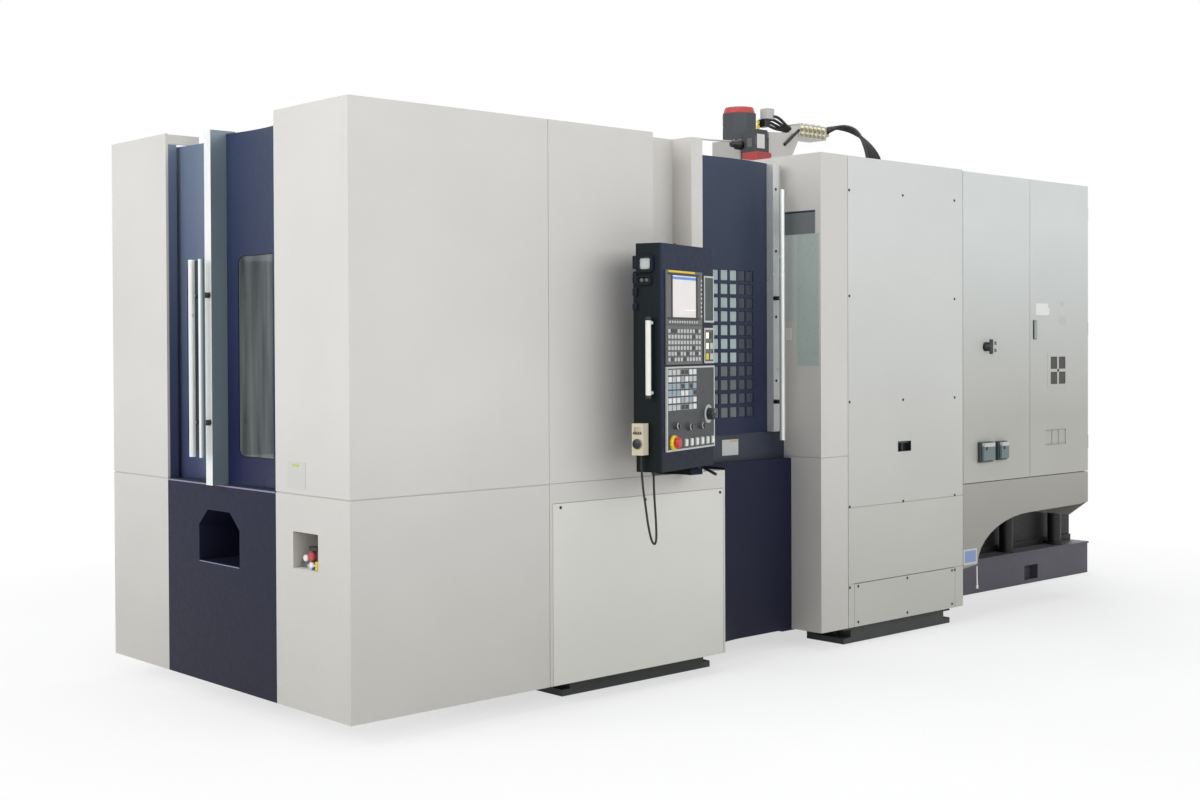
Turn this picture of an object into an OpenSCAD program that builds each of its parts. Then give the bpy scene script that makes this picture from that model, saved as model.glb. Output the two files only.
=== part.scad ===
// Horizontal machining centre with a pallet changer at its front end.
// X runs from the pallet changer to the rear, Y from the operator side to
// the far side, Z up from the floor. Lengths are in millimetres.

/* [Covers] */
// Height of the top edge of the side covers
cover_top = 2555; // [2530:5:2700]
// Height of the lower edge of the covers
cover_base = 95; // [80:1:110]
// Height of the seam round the front half
waist = 975; // [960:1:985]
// Thickness of a folded cover panel
cover_t = 12; // [10:1:14]
// Width of an open seam between two covers
seam = 5; // [3:1:8]
// Depth of an open seam
seam_d = 4; // [2:1:6]
// Width of the pallet changer end
front_w = 2040; // [2000:5:2100]
// Width over the wide machine section
far_w = 2400; // [2300:5:2500]
// Width of the near cover on the front face
corner_w = 549; // [530:1:560]
// Length of the corner cover along the operator side
corner_l = 1023; // [950:1:1100]
// Where the upper side cover starts to turn in
side_l = 1660; // [1640:1:1670]
// Length of the cover's turn into the panel recess
turn_w = 73; // [60:1:85]
// Width of the flat back of the panel recess
recess_w = 180; // [170:1:200]
// Depth of the recess for the operator panel
recess_d = 126; // [110:1:140]
// Width of the door post
post_w = 75; // [60:1:85]
// Depth of the door post
post_d = 195; // [180:1:210]

/* [Operator side] */
// Distance from the door post to the curved apron
apron_in = 149; // [130:1:170]
// Length of the apron
apron_l = 722; // [700:1:750]
// Length of the apron's concave curve
apron_run = 330; // [300:1:360]
// Depth of the apron behind the side covers
apron_d = 200; // [180:1:215]
// Height of the apron's top edge
apron_top = 987; // [980:1:1000]
// Height of the door sill
sill_top = 1127; // [1110:1:1140]
// Front plane of the door sill
sill_y = 250; // [240:1:255]
// Depth of the door sill
sill_d = 80; // [75:1:100]
// Front plane of the operator door at its ends
door_y = 267; // [262:1:275]
// Bulge of the operator door
door_bulge = 39; // [20:1:45]
// Back plane of the operator door
door_back = 300; // [296:1:308]
// Height of the operator door's top edge
door_top = 2516; // [2480:1:2530]
// Overlap of the operator door behind the door post
door_tuck = 28; // [20:1:40]
// Gap between the closing strip and the door jamb
strip_gap = 9; // [6:1:16]
// Width of the door jamb
jamb_w = 60; // [50:1:70]
// Width of the steel strip on the closing edge
strip_w = 43; // [35:1:48]
// Height of the steel strip above the door
strip_h = 45; // [30:1:50]
// Number of window panes one above the other
pane_rows = 11; // [8:1:12]
// Number of window panes side by side
pane_cols = 7; // [5:1:8]
// Distance from one window pane to the next
pane_pitch = 69; // [62:1:72]
// Width of a bar between window panes
pane_bar = 16; // [10:1:24]
// Height of the window grid above the sill
pane_up = 83; // [75:1:100]
// Distance of the window grid from the door's left edge
pane_in = 190; // [150:1:195]

/* [Pallet changer doors] */
// Gap between the front doors and the apron below them
leaf_lift = 3; // [3:1:6]
// Height of the top edge of the front doors
leaf_top = 2500; // [2450:1:2520]
// Height of the door window above the door's lower edge
leaf_sill = 125; // [100:1:150]
// Height of the door window
leaf_win_h = 865; // [800:1:900]
// Frame width on the outer side of the door window
leaf_rim = 99; // [90:1:110]
// Frame width between the door window and the closing edge
leaf_frame = 71; // [60:1:90]
// Sag of the hollow door face
leaf_sag = 25; // [10:1:28]
// Setback of the near door behind the cover face
leaf_near = 14; // [13:0.5:16]
// Setback of the far door behind the cover face
leaf_far = 66; // [60:1:70]
// Width of the closing strip
lead_w = 56; // [40:1:60]
// Height of the closing strip in front of the cover face
lead_h = 62; // [40:1:70]
// Distance of the grips in front of the cover face
grip_out = 98; // [90:1:110]
// Radius of a tubular grip
grip_r = 14; // [12:0.5:16]

/* [Machine section] */
// Length of the machine section
mid_l = 1250; // [1200:1:1300]
// Width of the corner post
mid_post = 219; // [200:1:230]
// Height of the top edge of the machine section
mid_top = 2560; // [2556:1:2600]
// Top edge of the kick panel
kick_top = 322; // [300:1:340]
// Seam above the kick panel
lower_seam = 722; // [700:1:740]
// Length of the cabinet
cab_l = 1339; // [1300:1:1400]
// Height of the lower edge of the cabinet doors
cab_base = 785; // [760:1:800]
// Width of the left cabinet door up to the seam
cab_left = 685; // [660:1:700]
// Depth of the cabinet
cab_d = 520; // [480:5:540]
// Thickness of a cabinet door
cab_door_t = 18; // [14:1:22]
// Length of the coolant tank behind the cabinet
tank_out = 936; // [800:1:1050]
// Height of the coolant tank
tank_h = 215; // [200:1:230]
// Front plane of the coolant tank
tank_y = 550; // [545:1:600]

/* [Machine] */
// Height of the top face of the bed
bed_top = 600; // [580:1:610]
// Height of the guide rails on the bed
rail_h = 40; // [35:1:45]
// Running gap between guides and slides
run_gap = 0.3; // [0.3:0.1:0.5]
// Distance from the turning axis to each pallet
apc_reach = 600; // [595:1:605]
// Side of a square pallet
pallet = 500; // [480:1:500]
// Thickness of a pallet
pallet_t = 100; // [80:1:105]
// Distance of the table at rest from its changing place
table_run = 600; // [590:1:610]
// Radius of the rotary table
table_r = 195; // [180:1:196]
// Distance from the table at rest to the column
col_gap = 700; // [695:1:710]
// Distance of the column behind the step in the covers
col_in = 191; // [185:1:200]
// Depth of the column
col_d = 450; // [440:5:470]
// Width of the column
col_w = 640; // [600:5:650]
// Height of the spindle axis
spindle_z = 1600; // [1590:1:1610]
// Radius of the spindle
spindle_r = 65; // [55:1:70]
// Width of the servo motor across its flats
motor_w = 190; // [170:1:200]

/* [Operator panel] */
// Turn of the operator panel from the cover face
pend_yaw = 18.75; // [0:0.25:30]
// Width of the operator panel
pend_w = 545; // [540:1:560]
// Depth of the operator panel
pend_d = 125; // [120:1:130]
// Height of the panel's lower edge
pend_z0 = 1024; // [1020:1:1030]
// Height of the panel's top edge
pend_z1 = 2020; // [2000:1:2050]

/* [Hidden] */
$fn = 48;
t = cover_t;
axis_y = front_w/2;
recess_x = side_l + turn_w;
post_x = recess_x + recess_w;
post_end = post_x + post_w;
apron_x = post_end + apron_in;
mid_x = apron_x + apron_l;
cab_x = mid_x + mid_l;
cab_split = cab_x + cab_left;
cab_end = cab_x + cab_l;
tank_end = cab_end + tank_out;
shift_x = (tank_end - grip_out - grip_r)/2;
open_w = front_w - 2*corner_w;
col_x = mid_x + col_in;
table_x = col_x - col_gap;
apc_x = table_x - table_run - apc_reach;
table_low = 850;
pallet_z = table_low + 150;
col_top = 2600;
motor_z = col_top + 150;
fork_top = pallet_z - 10;
shield_r = apc_reach + 80;
bed_y0 = axis_y - col_w/2 - 400;
wing_y0 = axis_y - 420;
bed_step = col_x - 150;
bed_end = cab_x - 60;
rail_cut = 35;
door_clear = 0.3;
door_x0 = post_end - door_tuck;
strip_x = mid_x - jamb_w - strip_gap - strip_w;
pane_x = door_x0 + pane_in;
pane_z = sill_top + pane_up;
grid_w = pane_cols*pane_pitch - pane_bar;
grid_h = pane_rows*pane_pitch - pane_bar;
leaf_z = waist + leaf_lift;
leaf_win_z = leaf_z + leaf_sill;
leaf_y0 = corner_w - 60;
leaf_win_w = axis_y - lead_w - leaf_y0 - leaf_rim - leaf_frame;
motor_x = col_x + 314;
slide_x = col_x - 20;
head_x = col_x - 200;
nose_x = col_x - 280;
mag_x = col_x - 0.3;
mag_y = far_w - 360;
mag_z = spindle_z + 300;
mag_r = 300;
pot_r = mag_r - 50;
atc_y = mag_y - 400;
tank_back = far_w - 500;
tank_lip = 10;
screw_in = 12;
col_cut = 80;
unit_r = pend_w - 117;
pivot = [side_l + 157, -80];
pivot_at = [pend_w - 45, pend_d - 25];
knob_u = pend_w - 75;
knob_z = 1262;
stop_u = 100;
stop_z = 1150;
stop_out = 42;
stop_r = 20;
front_y = pivot[1] - (pivot_at[0] - stop_u + stop_r)*sin(pend_yaw) - (pivot_at[1] + stop_out)*cos(pend_yaw);
shift_y = (far_w + front_y)/2;
unit_l = 39;
cable_r = 5;
hose_r = 10;
cable_way = [[-30, 83, 1100], [-33, 80, 1040], [-35, 72, 960], [-35, 60, 880], [-31, 50, 800], [-16, 42, 735],
  [6, 38, 713], [27, 40, 735], [41, 48, 800], [46, 56, 880], [47, 61, 960], [47, 62, 1024]];
reg_y = corner_w - 320;
reg_z = waist - 304;
reg_d = 158;
pull_x = mid_x + 643;
roof_z = door_top - 76;
swing_y = 125;
arch_x = cab_x + 143;
arch_z = 316;
arch_rx = 550;
arch_rz = 259;
drive_x = cab_x + 191;
drive_pitch = 170;
tank_x = cab_x + 91;
hinge_z = [cab_base + 140, cab_base + 845, cover_top - 220];
latch_z = 1602;
hose_x = col_x + 610;
hose_way = [[195, -228, 255, 0, 24], [253, -294, 298, 1, 22], [283, -364, 286, 4, 17], [269, -430, 240, 12, 10],
  [249, -480, 175, 21, 4], [230, -517, 105, 28, 1], [226, -520, 50, 30, 0], [226, -520, 0, 30, 0]];
house_y = tank_y + 140;
house_top = cab_base + 75;
pump_x = [tank_x + 1300, tank_x + 1880];

// Helpers
module shop() translate([-shift_x, -shift_y, 0]) children();
module box(a, b) translate(a) cube([b[0] - a[0], b[1] - a[1], b[2] - a[2]]);
module slab(z0, z1) translate([0, 0, z0]) linear_extrude(z1 - z0) children();
module rod_x(x0, x1, y, z, r) translate([x0, y, z]) rotate([0, 90, 0]) cylinder(h = x1 - x0, r = r);
module rod_y(y0, y1, x, z, r) translate([x, y0, z]) rotate([-90, 0, 0]) cylinder(h = y1 - y0, r = r);
module rod_z(z0, z1, x, y, r) translate([x, y, z0]) cylinder(h = z1 - z0, r = r);
module rrect(w, h, r) {
  translate([r, 0]) square([w - 2*r, h]);
  translate([0, r]) square([w, h - 2*r]);
  for (i = [r, w - r], j = [r, h - r]) translate([i, j]) circle(r);
}
// Outline drawn on the front face, with width along Y and height along Z
module on_front(x0, x1) translate([x0, 0, 0]) rotate([90, 0, 90]) linear_extrude(x1 - x0) children();
// Outline drawn on the operator face, with width along X and height along Z
module on_side(y0, y1) translate([0, y1, 0]) rotate([90, 0, 0]) linear_extrude(y1 - y0) children();
// Flat panel on the operator face with a step round its edge that makes the seams
module panel(x0, x1, z0, z1) {
  box([x0, seam_d, z0], [x1, t, z1]);
  box([x0 + seam/2, 0, z0 + seam/2], [x1 - seam/2, seam_d, z1 - seam/2]);
}
// Points of a quarter ellipse from angle a to 90 degrees and back
function quarter(cx, rx, ry, a0, a1, n) = [for (i = [0:n]) let (a = a0 + (a1 - a0)*i/n) [cx - rx*cos(a), ry*sin(a)]];
// Smooth point k of a way with n steps for each leg
function way_pt(w, i) = w[max(0, min(len(w) - 1, i))];
function spline(w, i, f) = let (a = way_pt(w, i - 1), b = way_pt(w, i), c = way_pt(w, i + 1), d = way_pt(w, i + 2))
  0.5*(2*b + (c - a)*f + (2*a - 5*b + 4*c - d)*f*f + (3*b - a - 3*c + d)*f*f*f);
function smooth(w, n) = [for (i = [0:len(w) - 2], k = [0:n - 1]) spline(w, i, k/n), w[len(w) - 1]];
function unit(v) = v/norm(v);
// Cast bed with its foot strips, rails, turning pedestal and cover lugs
module bed() color("dimgray") shop() {
  wing_a = apc_x + 70;
  wing_b = apc_x + 1030;
  rear_a = bed_step + 200;
  difference() {
    union() {
      box([apc_x - 250, wing_y0, 98], [bed_step, 2*axis_y - wing_y0, bed_top]);
      box([bed_step, bed_y0, 98], [bed_end, 2*axis_y - bed_y0, bed_top]);
      for (m = [0, 1]) translate([0, m*2*axis_y, 0]) mirror([0, m, 0]) {
        box([wing_a, 145, 0], [wing_b, wing_y0, cover_base - 7]);
        box([wing_a + 80, wing_y0 - 120, 0], [wing_b - 80, wing_y0, bed_top - 250]);
        box([rear_a, 50, 0], [bed_end, bed_y0, cover_base - 7]);
        box([rear_a + 80, bed_y0 - 60, 0], [bed_end - 69, bed_y0, bed_top - 250]);
        box([bed_step, bed_y0, 60], [bed_end, bed_y0 + 300, 98]);
        box([wing_a, wing_y0, 60], [wing_b, wing_y0 + 200, 98]);
        box([wing_a + 80, axis_y - 290, bed_top], [col_x - 190, axis_y - 230, bed_top + rail_h]);
      }
      for (x = [col_x + 40, col_x + col_d - 100])
        box([x, bed_y0 + rail_cut, bed_top], [x + 60, 2*axis_y - bed_y0 - rail_cut, bed_top + rail_h]);
      for (x = [apc_x + 250, apc_x + 850]) box([x, t, 300], [x + 60, wing_y0, 350]);
      for (x = [apc_x + 250, bed_step - 300]) box([x, 2*axis_y - wing_y0, 300], [x + 60, front_w - t, 350]);
      for (x = [col_x + 250, col_x + 750]) {
        box([x, t, 400], [x + 60, bed_y0, 450]);
        box([x, 2*axis_y - bed_y0, 400], [x + 60, far_w - t, 450]);
      }
      for (y = [axis_y - 320, axis_y + 260]) box([t, y, 400], [apc_x - 250, y + 60, 450]);
      rod_z(bed_top, fork_top - 110, apc_x, axis_y, 170);
      rod_z(0, 98, apc_x - 100, axis_y, 120);
    }
    for (x = [wing_a, wing_b, rear_a, bed_end]) box([x - 45, 130, 30], [x + 45, 230, 70]);
    for (x = [rear_a, bed_end]) box([x - 60, 40, 30], [x + 60, 140, 70]);
    for (x = [apc_x + 350, apc_x + 750, apc_x + 1150]) rod_y(wing_y0 - 10, wing_y0 + 200, x, bed_top - 120, 60);
    for (x = [apc_x + 210, apc_x + 710, apc_x + 1210])
      box([x, wing_y0 + 240, 59], [x + 460, 2*axis_y - wing_y0 - 240, bed_top - 60]);
    for (x = [bed_step + 60, bed_step + 620], y = [bed_y0 + 360, axis_y + 20])
      box([x, y, 59], [x + 500, y + 340, bed_top - 60]);
  }
}

// Upper near corner of the pallet changer end
module corner_cover() color("gainsboro") shop() {
  slab(waist + seam/2, cover_top) polygon([[0, 0], [corner_l, 0], [corner_l, t], [t, t], [t, corner_w], [0, corner_w]]);
  slab(waist, waist + seam/2)
    polygon([[seam_d, seam_d], [corner_l, seam_d], [corner_l, t], [t, t], [t, corner_w], [seam_d, corner_w]]);
}

// Lower near corner with its square regulator pocket
module corner_cover_lower() color("gainsboro") shop() difference() {
  union() {
    slab(cover_base, waist - seam/2) polygon([[0, 0], [corner_l, 0], [corner_l, t], [t, t], [t, corner_w], [0, corner_w]]);
    slab(waist - seam/2, waist)
      polygon([[seam_d, seam_d], [corner_l, seam_d], [corner_l, t], [t, t], [t, corner_w], [seam_d, corner_w]]);
    box([t, reg_y - 15, reg_z - 15], [reg_d + t, reg_y + 202, reg_z + 167]);
  }
  box([-1, reg_y, reg_z], [reg_d, reg_y + 187, reg_z + 152]);
}

// Plain far side of the pallet changer end
module far_cover() color("gainsboro") shop() {
  slab(cover_base, waist - seam/2) far_plan(0);
  slab(waist - seam/2, waist + seam/2) far_plan(seam_d);
  slab(waist + seam/2, cover_top) far_plan(0);
}
module far_plan(e) polygon([[e, corner_w + open_w], [t, corner_w + open_w], [t, front_w - t], [mid_x, front_w - t],
  [mid_x, front_w - e], [e, front_w - e]]);

// Blue front apron with an open pocket that has cut corners
module front_apron() color("midnightblue") shop() difference() {
  y0 = corner_w + 299;
  y1 = y0 + 353;
  z0 = waist - 346;
  z1 = z0 + 230;
  union() {
    box([0, corner_w, cover_base], [t, corner_w + open_w, waist]);
    box([t, y0 - 15, z0 - 15], [250 + t, y1 + 15, z1 + 15]);
  }
  on_front(-1, 250) polygon([[y0, z0], [y1, z0], [y1, z1 - 70], [y1 - 78, z1], [y0 + 82, z1], [y0, z1 - 72]]);
}

// Upper side cover with its rounded turn into the panel recess, and the door post
module side_cover() color("gainsboro") shop() {
  w = recess_x - side_l;
  slab(waist + seam/2, cover_top) union() {
    translate([corner_l + seam/2, 0]) square([side_l - corner_l - seam/2, t]);
    translate([corner_l, seam_d]) square([seam, t - seam_d]);
    polygon(concat(quarter(recess_x, w, recess_d, 0, 90, 10), [[post_x, recess_d], [post_x, recess_d + t]],
      quarter(recess_x, w + t, recess_d + t, 90, asin(t/(recess_d + t)), 10)));
    translate([post_x, 0]) square([post_w, post_d]);
  }
  slab(waist, waist + seam/2) union() {
    translate([corner_l, seam_d]) square([side_l - corner_l - t, t - seam_d]);
    translate([post_x + seam_d, seam_d]) square([post_w - 2*seam_d, post_d - seam_d]);
  }
}

// Lower side cover with the ledge under the operator panel
module side_cover_lower() color("gainsboro") shop() {
  difference() {
    union() {
      box([corner_l, seam_d, cover_base], [apron_x, t, waist]);
      box([corner_l + seam/2, 0, cover_base], [apron_x, seam_d, waist]);
    }
    box([corner_l + 19, -1, cover_base - 1], [apron_x - 12, t - 4, waist - 85]);
  }
  box([side_l - 20, t, waist - 30], [apron_x, sill_y, waist]);
}

// Removable service panel of the side cover
module side_service_panel() color("whitesmoke") shop()
  box([corner_l + 21, 0, cover_base], [apron_x - 14, t - 4, waist - 87]);

// Curved apron below the operator door
module operator_apron() color("midnightblue") shop() {
  cx = apron_x + apron_run;
  a0 = acos((apron_run)/(apron_run + t));
  outer = quarter(cx, apron_run, apron_d, 0, 90, 14);
  inner = quarter(cx, apron_run + t, apron_d + t, 90, a0, 14);
  slab(cover_base, apron_top - 30) polygon(concat(outer, [[mid_x, apron_d], [mid_x, apron_d + t]], inner));
  slab(apron_top - 30, apron_top) polygon(concat(outer, [[mid_x, apron_d], [mid_x, sill_y], [apron_x, sill_y]]));
}

// Sill of the operator door with its track, and the track and guide of the front doors
module door_tracks() color("darkslategray") shop() {
  box([post_end, sill_y, waist], [mid_x, sill_y + sill_d, sill_top - door_clear]);
  box([apc_x + 100, door_back + door_clear, door_top - 116], [mid_x, sill_y + sill_d, door_top - 6]);
  box([t, t, leaf_z - 60], [leaf_far + 60, front_w - t, leaf_z - door_clear]);
  box([leaf_far + leaf_sag + 21.3, t, leaf_top - 100], [leaf_far + leaf_sag + 60, front_w - t, leaf_top - 60]);
}

// Corner post of the machine section with its inner wall and door jamb
module mid_corner_cover() color("gainsboro") shop() {
  slab(waist + 22, mid_top) mid_plan(0);
  slab(waist + 18, waist + 22) mid_plan(seam_d);
  slab(cover_base, waist + 18) mid_plan(0);
  box([mid_x - jamb_w, door_y + 3, sill_top], [mid_x, door_back, door_top]);
}
module mid_plan(e) polygon([[mid_x + e, e], [mid_x + mid_post - seam/2, e], [mid_x + mid_post - seam/2, seam_d],
  [mid_x + mid_post, seam_d], [mid_x + mid_post, t], [mid_x + t, t], [mid_x + t, 340], [mid_x + e, 340]]);

// Large service panel of the machine section with its pull recess
module mid_service_panel() color("whitesmoke") shop() {
  x0 = mid_x + mid_post;
  difference() {
    union() {
      panel(x0, cab_x, lower_seam, mid_top);
      panel(x0, cab_x, kick_top, lower_seam);
      box([x0, seam_d, cover_base], [x0 + 52, t, kick_top]);
      box([x0 + seam/2, 0, cover_base], [x0 + 52 - seam/2, seam_d, kick_top]);
      box([cab_x - 79, seam_d, cover_base], [cab_x, t, kick_top]);
      box([cab_x - 79 + seam/2, 0, cover_base], [cab_x - seam/2, seam_d, kick_top]);
      box([pull_x - 10, t, 985], [pull_x + 131, 45, 1063]);
    }
    box([pull_x, -1, 995], [pull_x + 121, 35, 1053]);
  }
}

// Kick panel at the foot of the machine section
module mid_kick_panel() color("whitesmoke") shop()
  box([mid_x + mid_post + 52, 0, cover_base], [cab_x - 79, t, kick_top - seam/2]);

// Far side and rear wall of the machine section
module far_side_cover() color("gainsboro") shop() slab(cover_base, mid_top - 30)
  polygon([[mid_x, front_w], [mid_x, far_w], [cab_x, far_w], [cab_x, t], [cab_x - t, t], [cab_x - t, far_w - t],
    [mid_x + t, far_w - t], [mid_x + t, front_w]]);

// Flat top covers with the slot that the column passes through
module top_covers() color("gainsboro") shop() {
  difference() {
    box([mid_x + t, t, mid_top - 30], [cab_x, far_w, mid_top]);
    box([col_x - 100, bed_y0 - 50, mid_top - 31], [col_x + col_d + 40, 2*axis_y - bed_y0 + 50, mid_top + 1]);
  }
  box([apc_x - 15, sill_y + sill_d, roof_z], [mid_x, front_w - t, roof_z + 30]);
}

// Fixed strips beside the turning shield
module inner_partition() color("gainsboro") shop() {
  y1 = axis_y - shield_r - 5;
  for (m = [0, 1]) translate([0, m*2*axis_y, 0]) mirror([0, m, 0]) on_front(apc_x - 15, apc_x + 15)
    polygon([[t, 450], [y1, 450], [y1, fork_top - 60], [swing_y, fork_top - 60], [swing_y, fork_top + 120],
      [y1, fork_top + 120], [y1, roof_z], [t, roof_z]]);
}

// Electrical cabinet shell with its two rear brackets
module cabinet_body() color("gainsboro") shop() {
  difference() {
    box([cab_x, cab_door_t + door_clear, cab_base], [cab_end, cab_d, cover_top]);
    box([cab_x + t, 0, cab_base + t], [cab_end - t, cab_d - t, cover_top - t]);
  }
  for (x = [drive_x, cab_end - 140]) box([x, cab_d, house_top - 80], [x + 80, house_y, house_top - 20]);
}

// Arched skirt under the cabinet and its rear end plate
module cabinet_skirt() color("gainsboro") shop() {
  low = arch_z + arch_rz + 19;
  on_front(cab_end - t, cab_end)
    polygon([[0, cab_base - seam], [0, low], [125, low - 92], [cab_d, low - 92], [cab_d, cab_base - seam]]);
  on_side(0, t) polygon(concat([[cab_x, cab_base - seam], [cab_x, arch_z - 13], [arch_x, arch_z]],
    [for (a = [10:10:90]) [arch_x + arch_rx*(1 - cos(a)), arch_z + arch_rz*sin(a)]],
    [[cab_end - 101, low - 11], [cab_end, low], [cab_end, cab_base - seam]]));
}

// Row of drive units on the back wall of the cabinet
module servo_drives() color("darkgray") shop() {
  y1 = cab_d - t;
  z0 = cab_base + 615;
  for (i = [0:5]) translate([drive_x + i*drive_pitch, 0, z0]) difference() {
    box([0, y1 - 240, 0], [drive_pitch - 20, y1, 450]);
    for (k = [0:5]) box([15, y1 - 241, 30 + k*18], [drive_pitch - 35, y1 - 230, 38 + k*18]);
  }
  box([drive_x, y1 - 60, z0 - 250], [drive_x + 5*drive_pitch + 150, y1, z0 - 170]);
}

// Low coolant tank with its lid edge and lifting pocket
module coolant_tank() color("slategray") shop() difference() {
  union() {
    box([tank_x, tank_y, 0], [tank_end, tank_back, tank_h - t]);
    box([tank_x - tank_lip, tank_y - tank_lip, tank_h - t], [tank_end, tank_back + tank_lip, tank_h]);
  }
  box([cab_end + 152, tank_y - 20, 25], [cab_end + 312, tank_y + 60, tank_h - 97]);
}

// Dark housing on the tank, with pumps and a riser pipe in front of it
module rear_housing() color("darkslategray") shop() {
  box([tank_x + 100, house_y, tank_h], [tank_end - 4, tank_back - 500, house_top]);
  box([tank_x + 90, house_y - 12, tank_h], [tank_end - 4, house_y, tank_h + 40]);
  for (x = pump_x) {
    rod_z(tank_h, tank_h + 20, x, house_y - 68, 55);
    rod_z(tank_h + 20, tank_h + 230, x, house_y - 68, 45);
    rod_z(tank_h + 230, tank_h + 255, x, house_y - 68, 38);
  }
  rod_z(tank_h, tank_h + 180, tank_x + 900, house_y - 80, 25);
}

// Post that carries the tool magazine and the tool arm
module magazine_stand() color("dimgray") shop() {
  y0 = 2*axis_y - bed_y0;
  y1 = far_w - 100;
  x0 = col_x + 20;
  box([x0, y0 - 30, bed_top], [x0 + 30, y1, mag_z + mag_r]);
  box([x0, y0, bed_top - 200], [x0 + 30, y1, bed_top]);
  box([bed_step, y0, bed_top - 200], [x0 + 30, y1, bed_top - 150]);
  box([bed_step, y0 - 30, mag_z - 40], [x0, y0 - 2, mag_z + 40]);
  box([bed_step, atc_y - 40, mag_z - 40], [bed_step + 40, y0 - 2, mag_z + 40]);
  rod_x(col_x, x0, mag_y, mag_z, 90);
}

// Arm and pivot post that carry the operator panel
module panel_bracket() color("dimgray") shop() {
  box([pivot[0] - 40, pivot[1] - 40, waist + 3], [pivot[0] + 40, recess_d, waist + 33]);
  box([pivot[0] - 60, recess_d - 12, waist], [pivot[0] + 60, recess_d, waist + 120]);
  rod_z(waist + 33, pend_z0 - door_clear, pivot[0], pivot[1], 36);
  rod_z(pend_z0 - door_clear, pend_z0 + 60, pivot[0], pivot[1], 19.95);
}

// Screw heads of the removable panels
module cover_screws() color("black") shop() {
  x0 = mid_x + mid_post + screw_in;
  x1 = cab_x - screw_in - 70;
  for (x = [corner_l + 65, side_l - 56, apron_x - 34]) rod_y(-2, 0, x, waist - 105, 7);
  for (x = [x0, pull_x + 48, x1], z = [mid_top - 180, 1276, lower_seam + 6]) rod_y(-2, 0, x, z, 7);
  for (x = [x0, x1], z = [1829, kick_top - 16]) rod_y(-2, 0, x, z, 7);
  for (x = [x0 + 70, pull_x + 84, x1 - 27], z = [kick_top - 16, cover_base + 23]) rod_y(-2, 0, x, z, 7);
}

// Air regulator in the square pocket
module regulator() color("silver") shop() {
  y0 = reg_y + 21;
  z0 = reg_z + 29;
  box([90, y0, reg_z], [130, y0 + 80, z0]);
  rod_z(z0, z0 + 60, 110, y0 + 25, 18);
  rod_z(z0, z0 + 45, 110, y0 + 60, 14);
  rod_x(60, 90, y0 + 40, z0 - 15, 12);
}

// Bracket on the column's top with the hose block at its end and the valve box beside it
module column_bracket() color("silver") shop() {
  y0 = axis_y - 240;
  x0 = col_x + 300;
  on_side(y0, y0 + 120)
    polygon([[x0, col_top], [x0 + 150, col_top], [x0 + 215, motor_z - 64], [x0 + 282, motor_z + 50], [x0, motor_z + 35]]);
  box([x0 + 256, y0 - 5, motor_z + 28], [hose_x + 195, y0 + 125, motor_z + 102]);
  box([x0 - 140, y0 - 20, col_top], [x0 - 20, y0 + 70, col_top + 60]);
  box([x0 - 136, y0 - 10, col_top + 60], [x0 - 24, y0 + 64, motor_z + 40]);
}

// Bundle of hoses from the hose block down to the top cover
module hose_bundle() color("black") shop() for (i = [0:4]) {
  p = [for (q = smooth(hose_way, 3)) [hose_x + q[0] + i*q[3], axis_y + q[1] + i*q[4], mid_top + q[2]]];
  n = len(p);
  m = 8;
  rings = [for (k = [0:n - 1]) let (d = k == 0 ? [1, 0, 0] : k == n - 1 ? [0, 0, -1] : unit(p[k + 1] - p[k - 1]),
    q = unit(cross([0, 1, 0], d)), s = cross(d, q)) for (j = [0:m - 1]) p[k] + hose_r*(cos(360*j/m)*q + sin(360*j/m)*s)];
  polyhedron(points = rings, faces = tube_faces(n, m), convexity = 6);
}
function tube_faces(n, m) = concat([[for (k = [0:m - 1]) k]], [[for (k = [m - 1:-1:0]) (n - 1)*m + k]],
  [for (i = [0:n - 2], k = [0:m - 1]) [i*m + k, (i + 1)*m + k, (i + 1)*m + (k + 1)%m, i*m + (k + 1)%m]]);

// Leaf of the front door, drawn as the near one
module leaf(x) difference() {
  y0 = leaf_y0;
  y1 = axis_y - lead_w;
  slab(leaf_z, leaf_top) polygon(concat([for (i = [0:12]) let (y = y0 + (y1 - y0)*i/12, f = 2*i/12 - 1)
    [x + leaf_sag*(1 - f*f), y]], [[x + leaf_sag + 20, y1], [x + leaf_sag + 20, y0]]));
  on_front(x - 30, x + leaf_sag + 40) translate([y0 + leaf_rim, leaf_win_z]) rrect(leaf_win_w, leaf_win_h, 40);
}
module glass(x) on_front(x + leaf_sag + 20, x + leaf_sag + 26)
  translate([leaf_y0 + leaf_rim - 15, leaf_win_z - 15]) rrect(leaf_win_w + 30, leaf_win_h + 30, 50);
module far_side() translate([0, 2*axis_y, 0]) mirror([0, 1, 0]) children();

module near_door() color("darkslateblue") shop() union() {
  leaf(leaf_near);
  box([leaf_near + leaf_sag + 20, corner_w - 29, leaf_top - 95], [leaf_far + leaf_sag + 21, corner_w + 11, leaf_top - 65]);
}
module near_window() color("darkseagreen") shop() glass(leaf_near);
module far_door() color("darkslateblue") shop() far_side() union() {
  leaf(leaf_far);
  box([leaf_far, axis_y - lead_w, leaf_z], [leaf_far + leaf_sag + 20, axis_y - 1, leaf_top]);
}
module far_window() color("darkseagreen") shop() far_side() glass(leaf_far);
// Closing strip with its tubular grip on two posts
module near_pull() color("silver") shop() {
  box([-lead_h, axis_y - lead_w, leaf_z], [leaf_near + leaf_sag + 20, axis_y, leaf_top + 13]);
  grip(-lead_h, axis_y - 37);
}
module far_pull() color("silver") shop() {
  grip(leaf_far, axis_y + 52);
  for (z = [1250, 1800]) rod_x(leaf_far - 8, leaf_far, axis_y + 52, z, 22);
}
module grip(x, y) {
  rod_z(1100, 1955, -grip_out, y, grip_r);
  for (z = [1250, 1800]) rod_x(-grip_out, x, y, z, 9);
}

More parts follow.
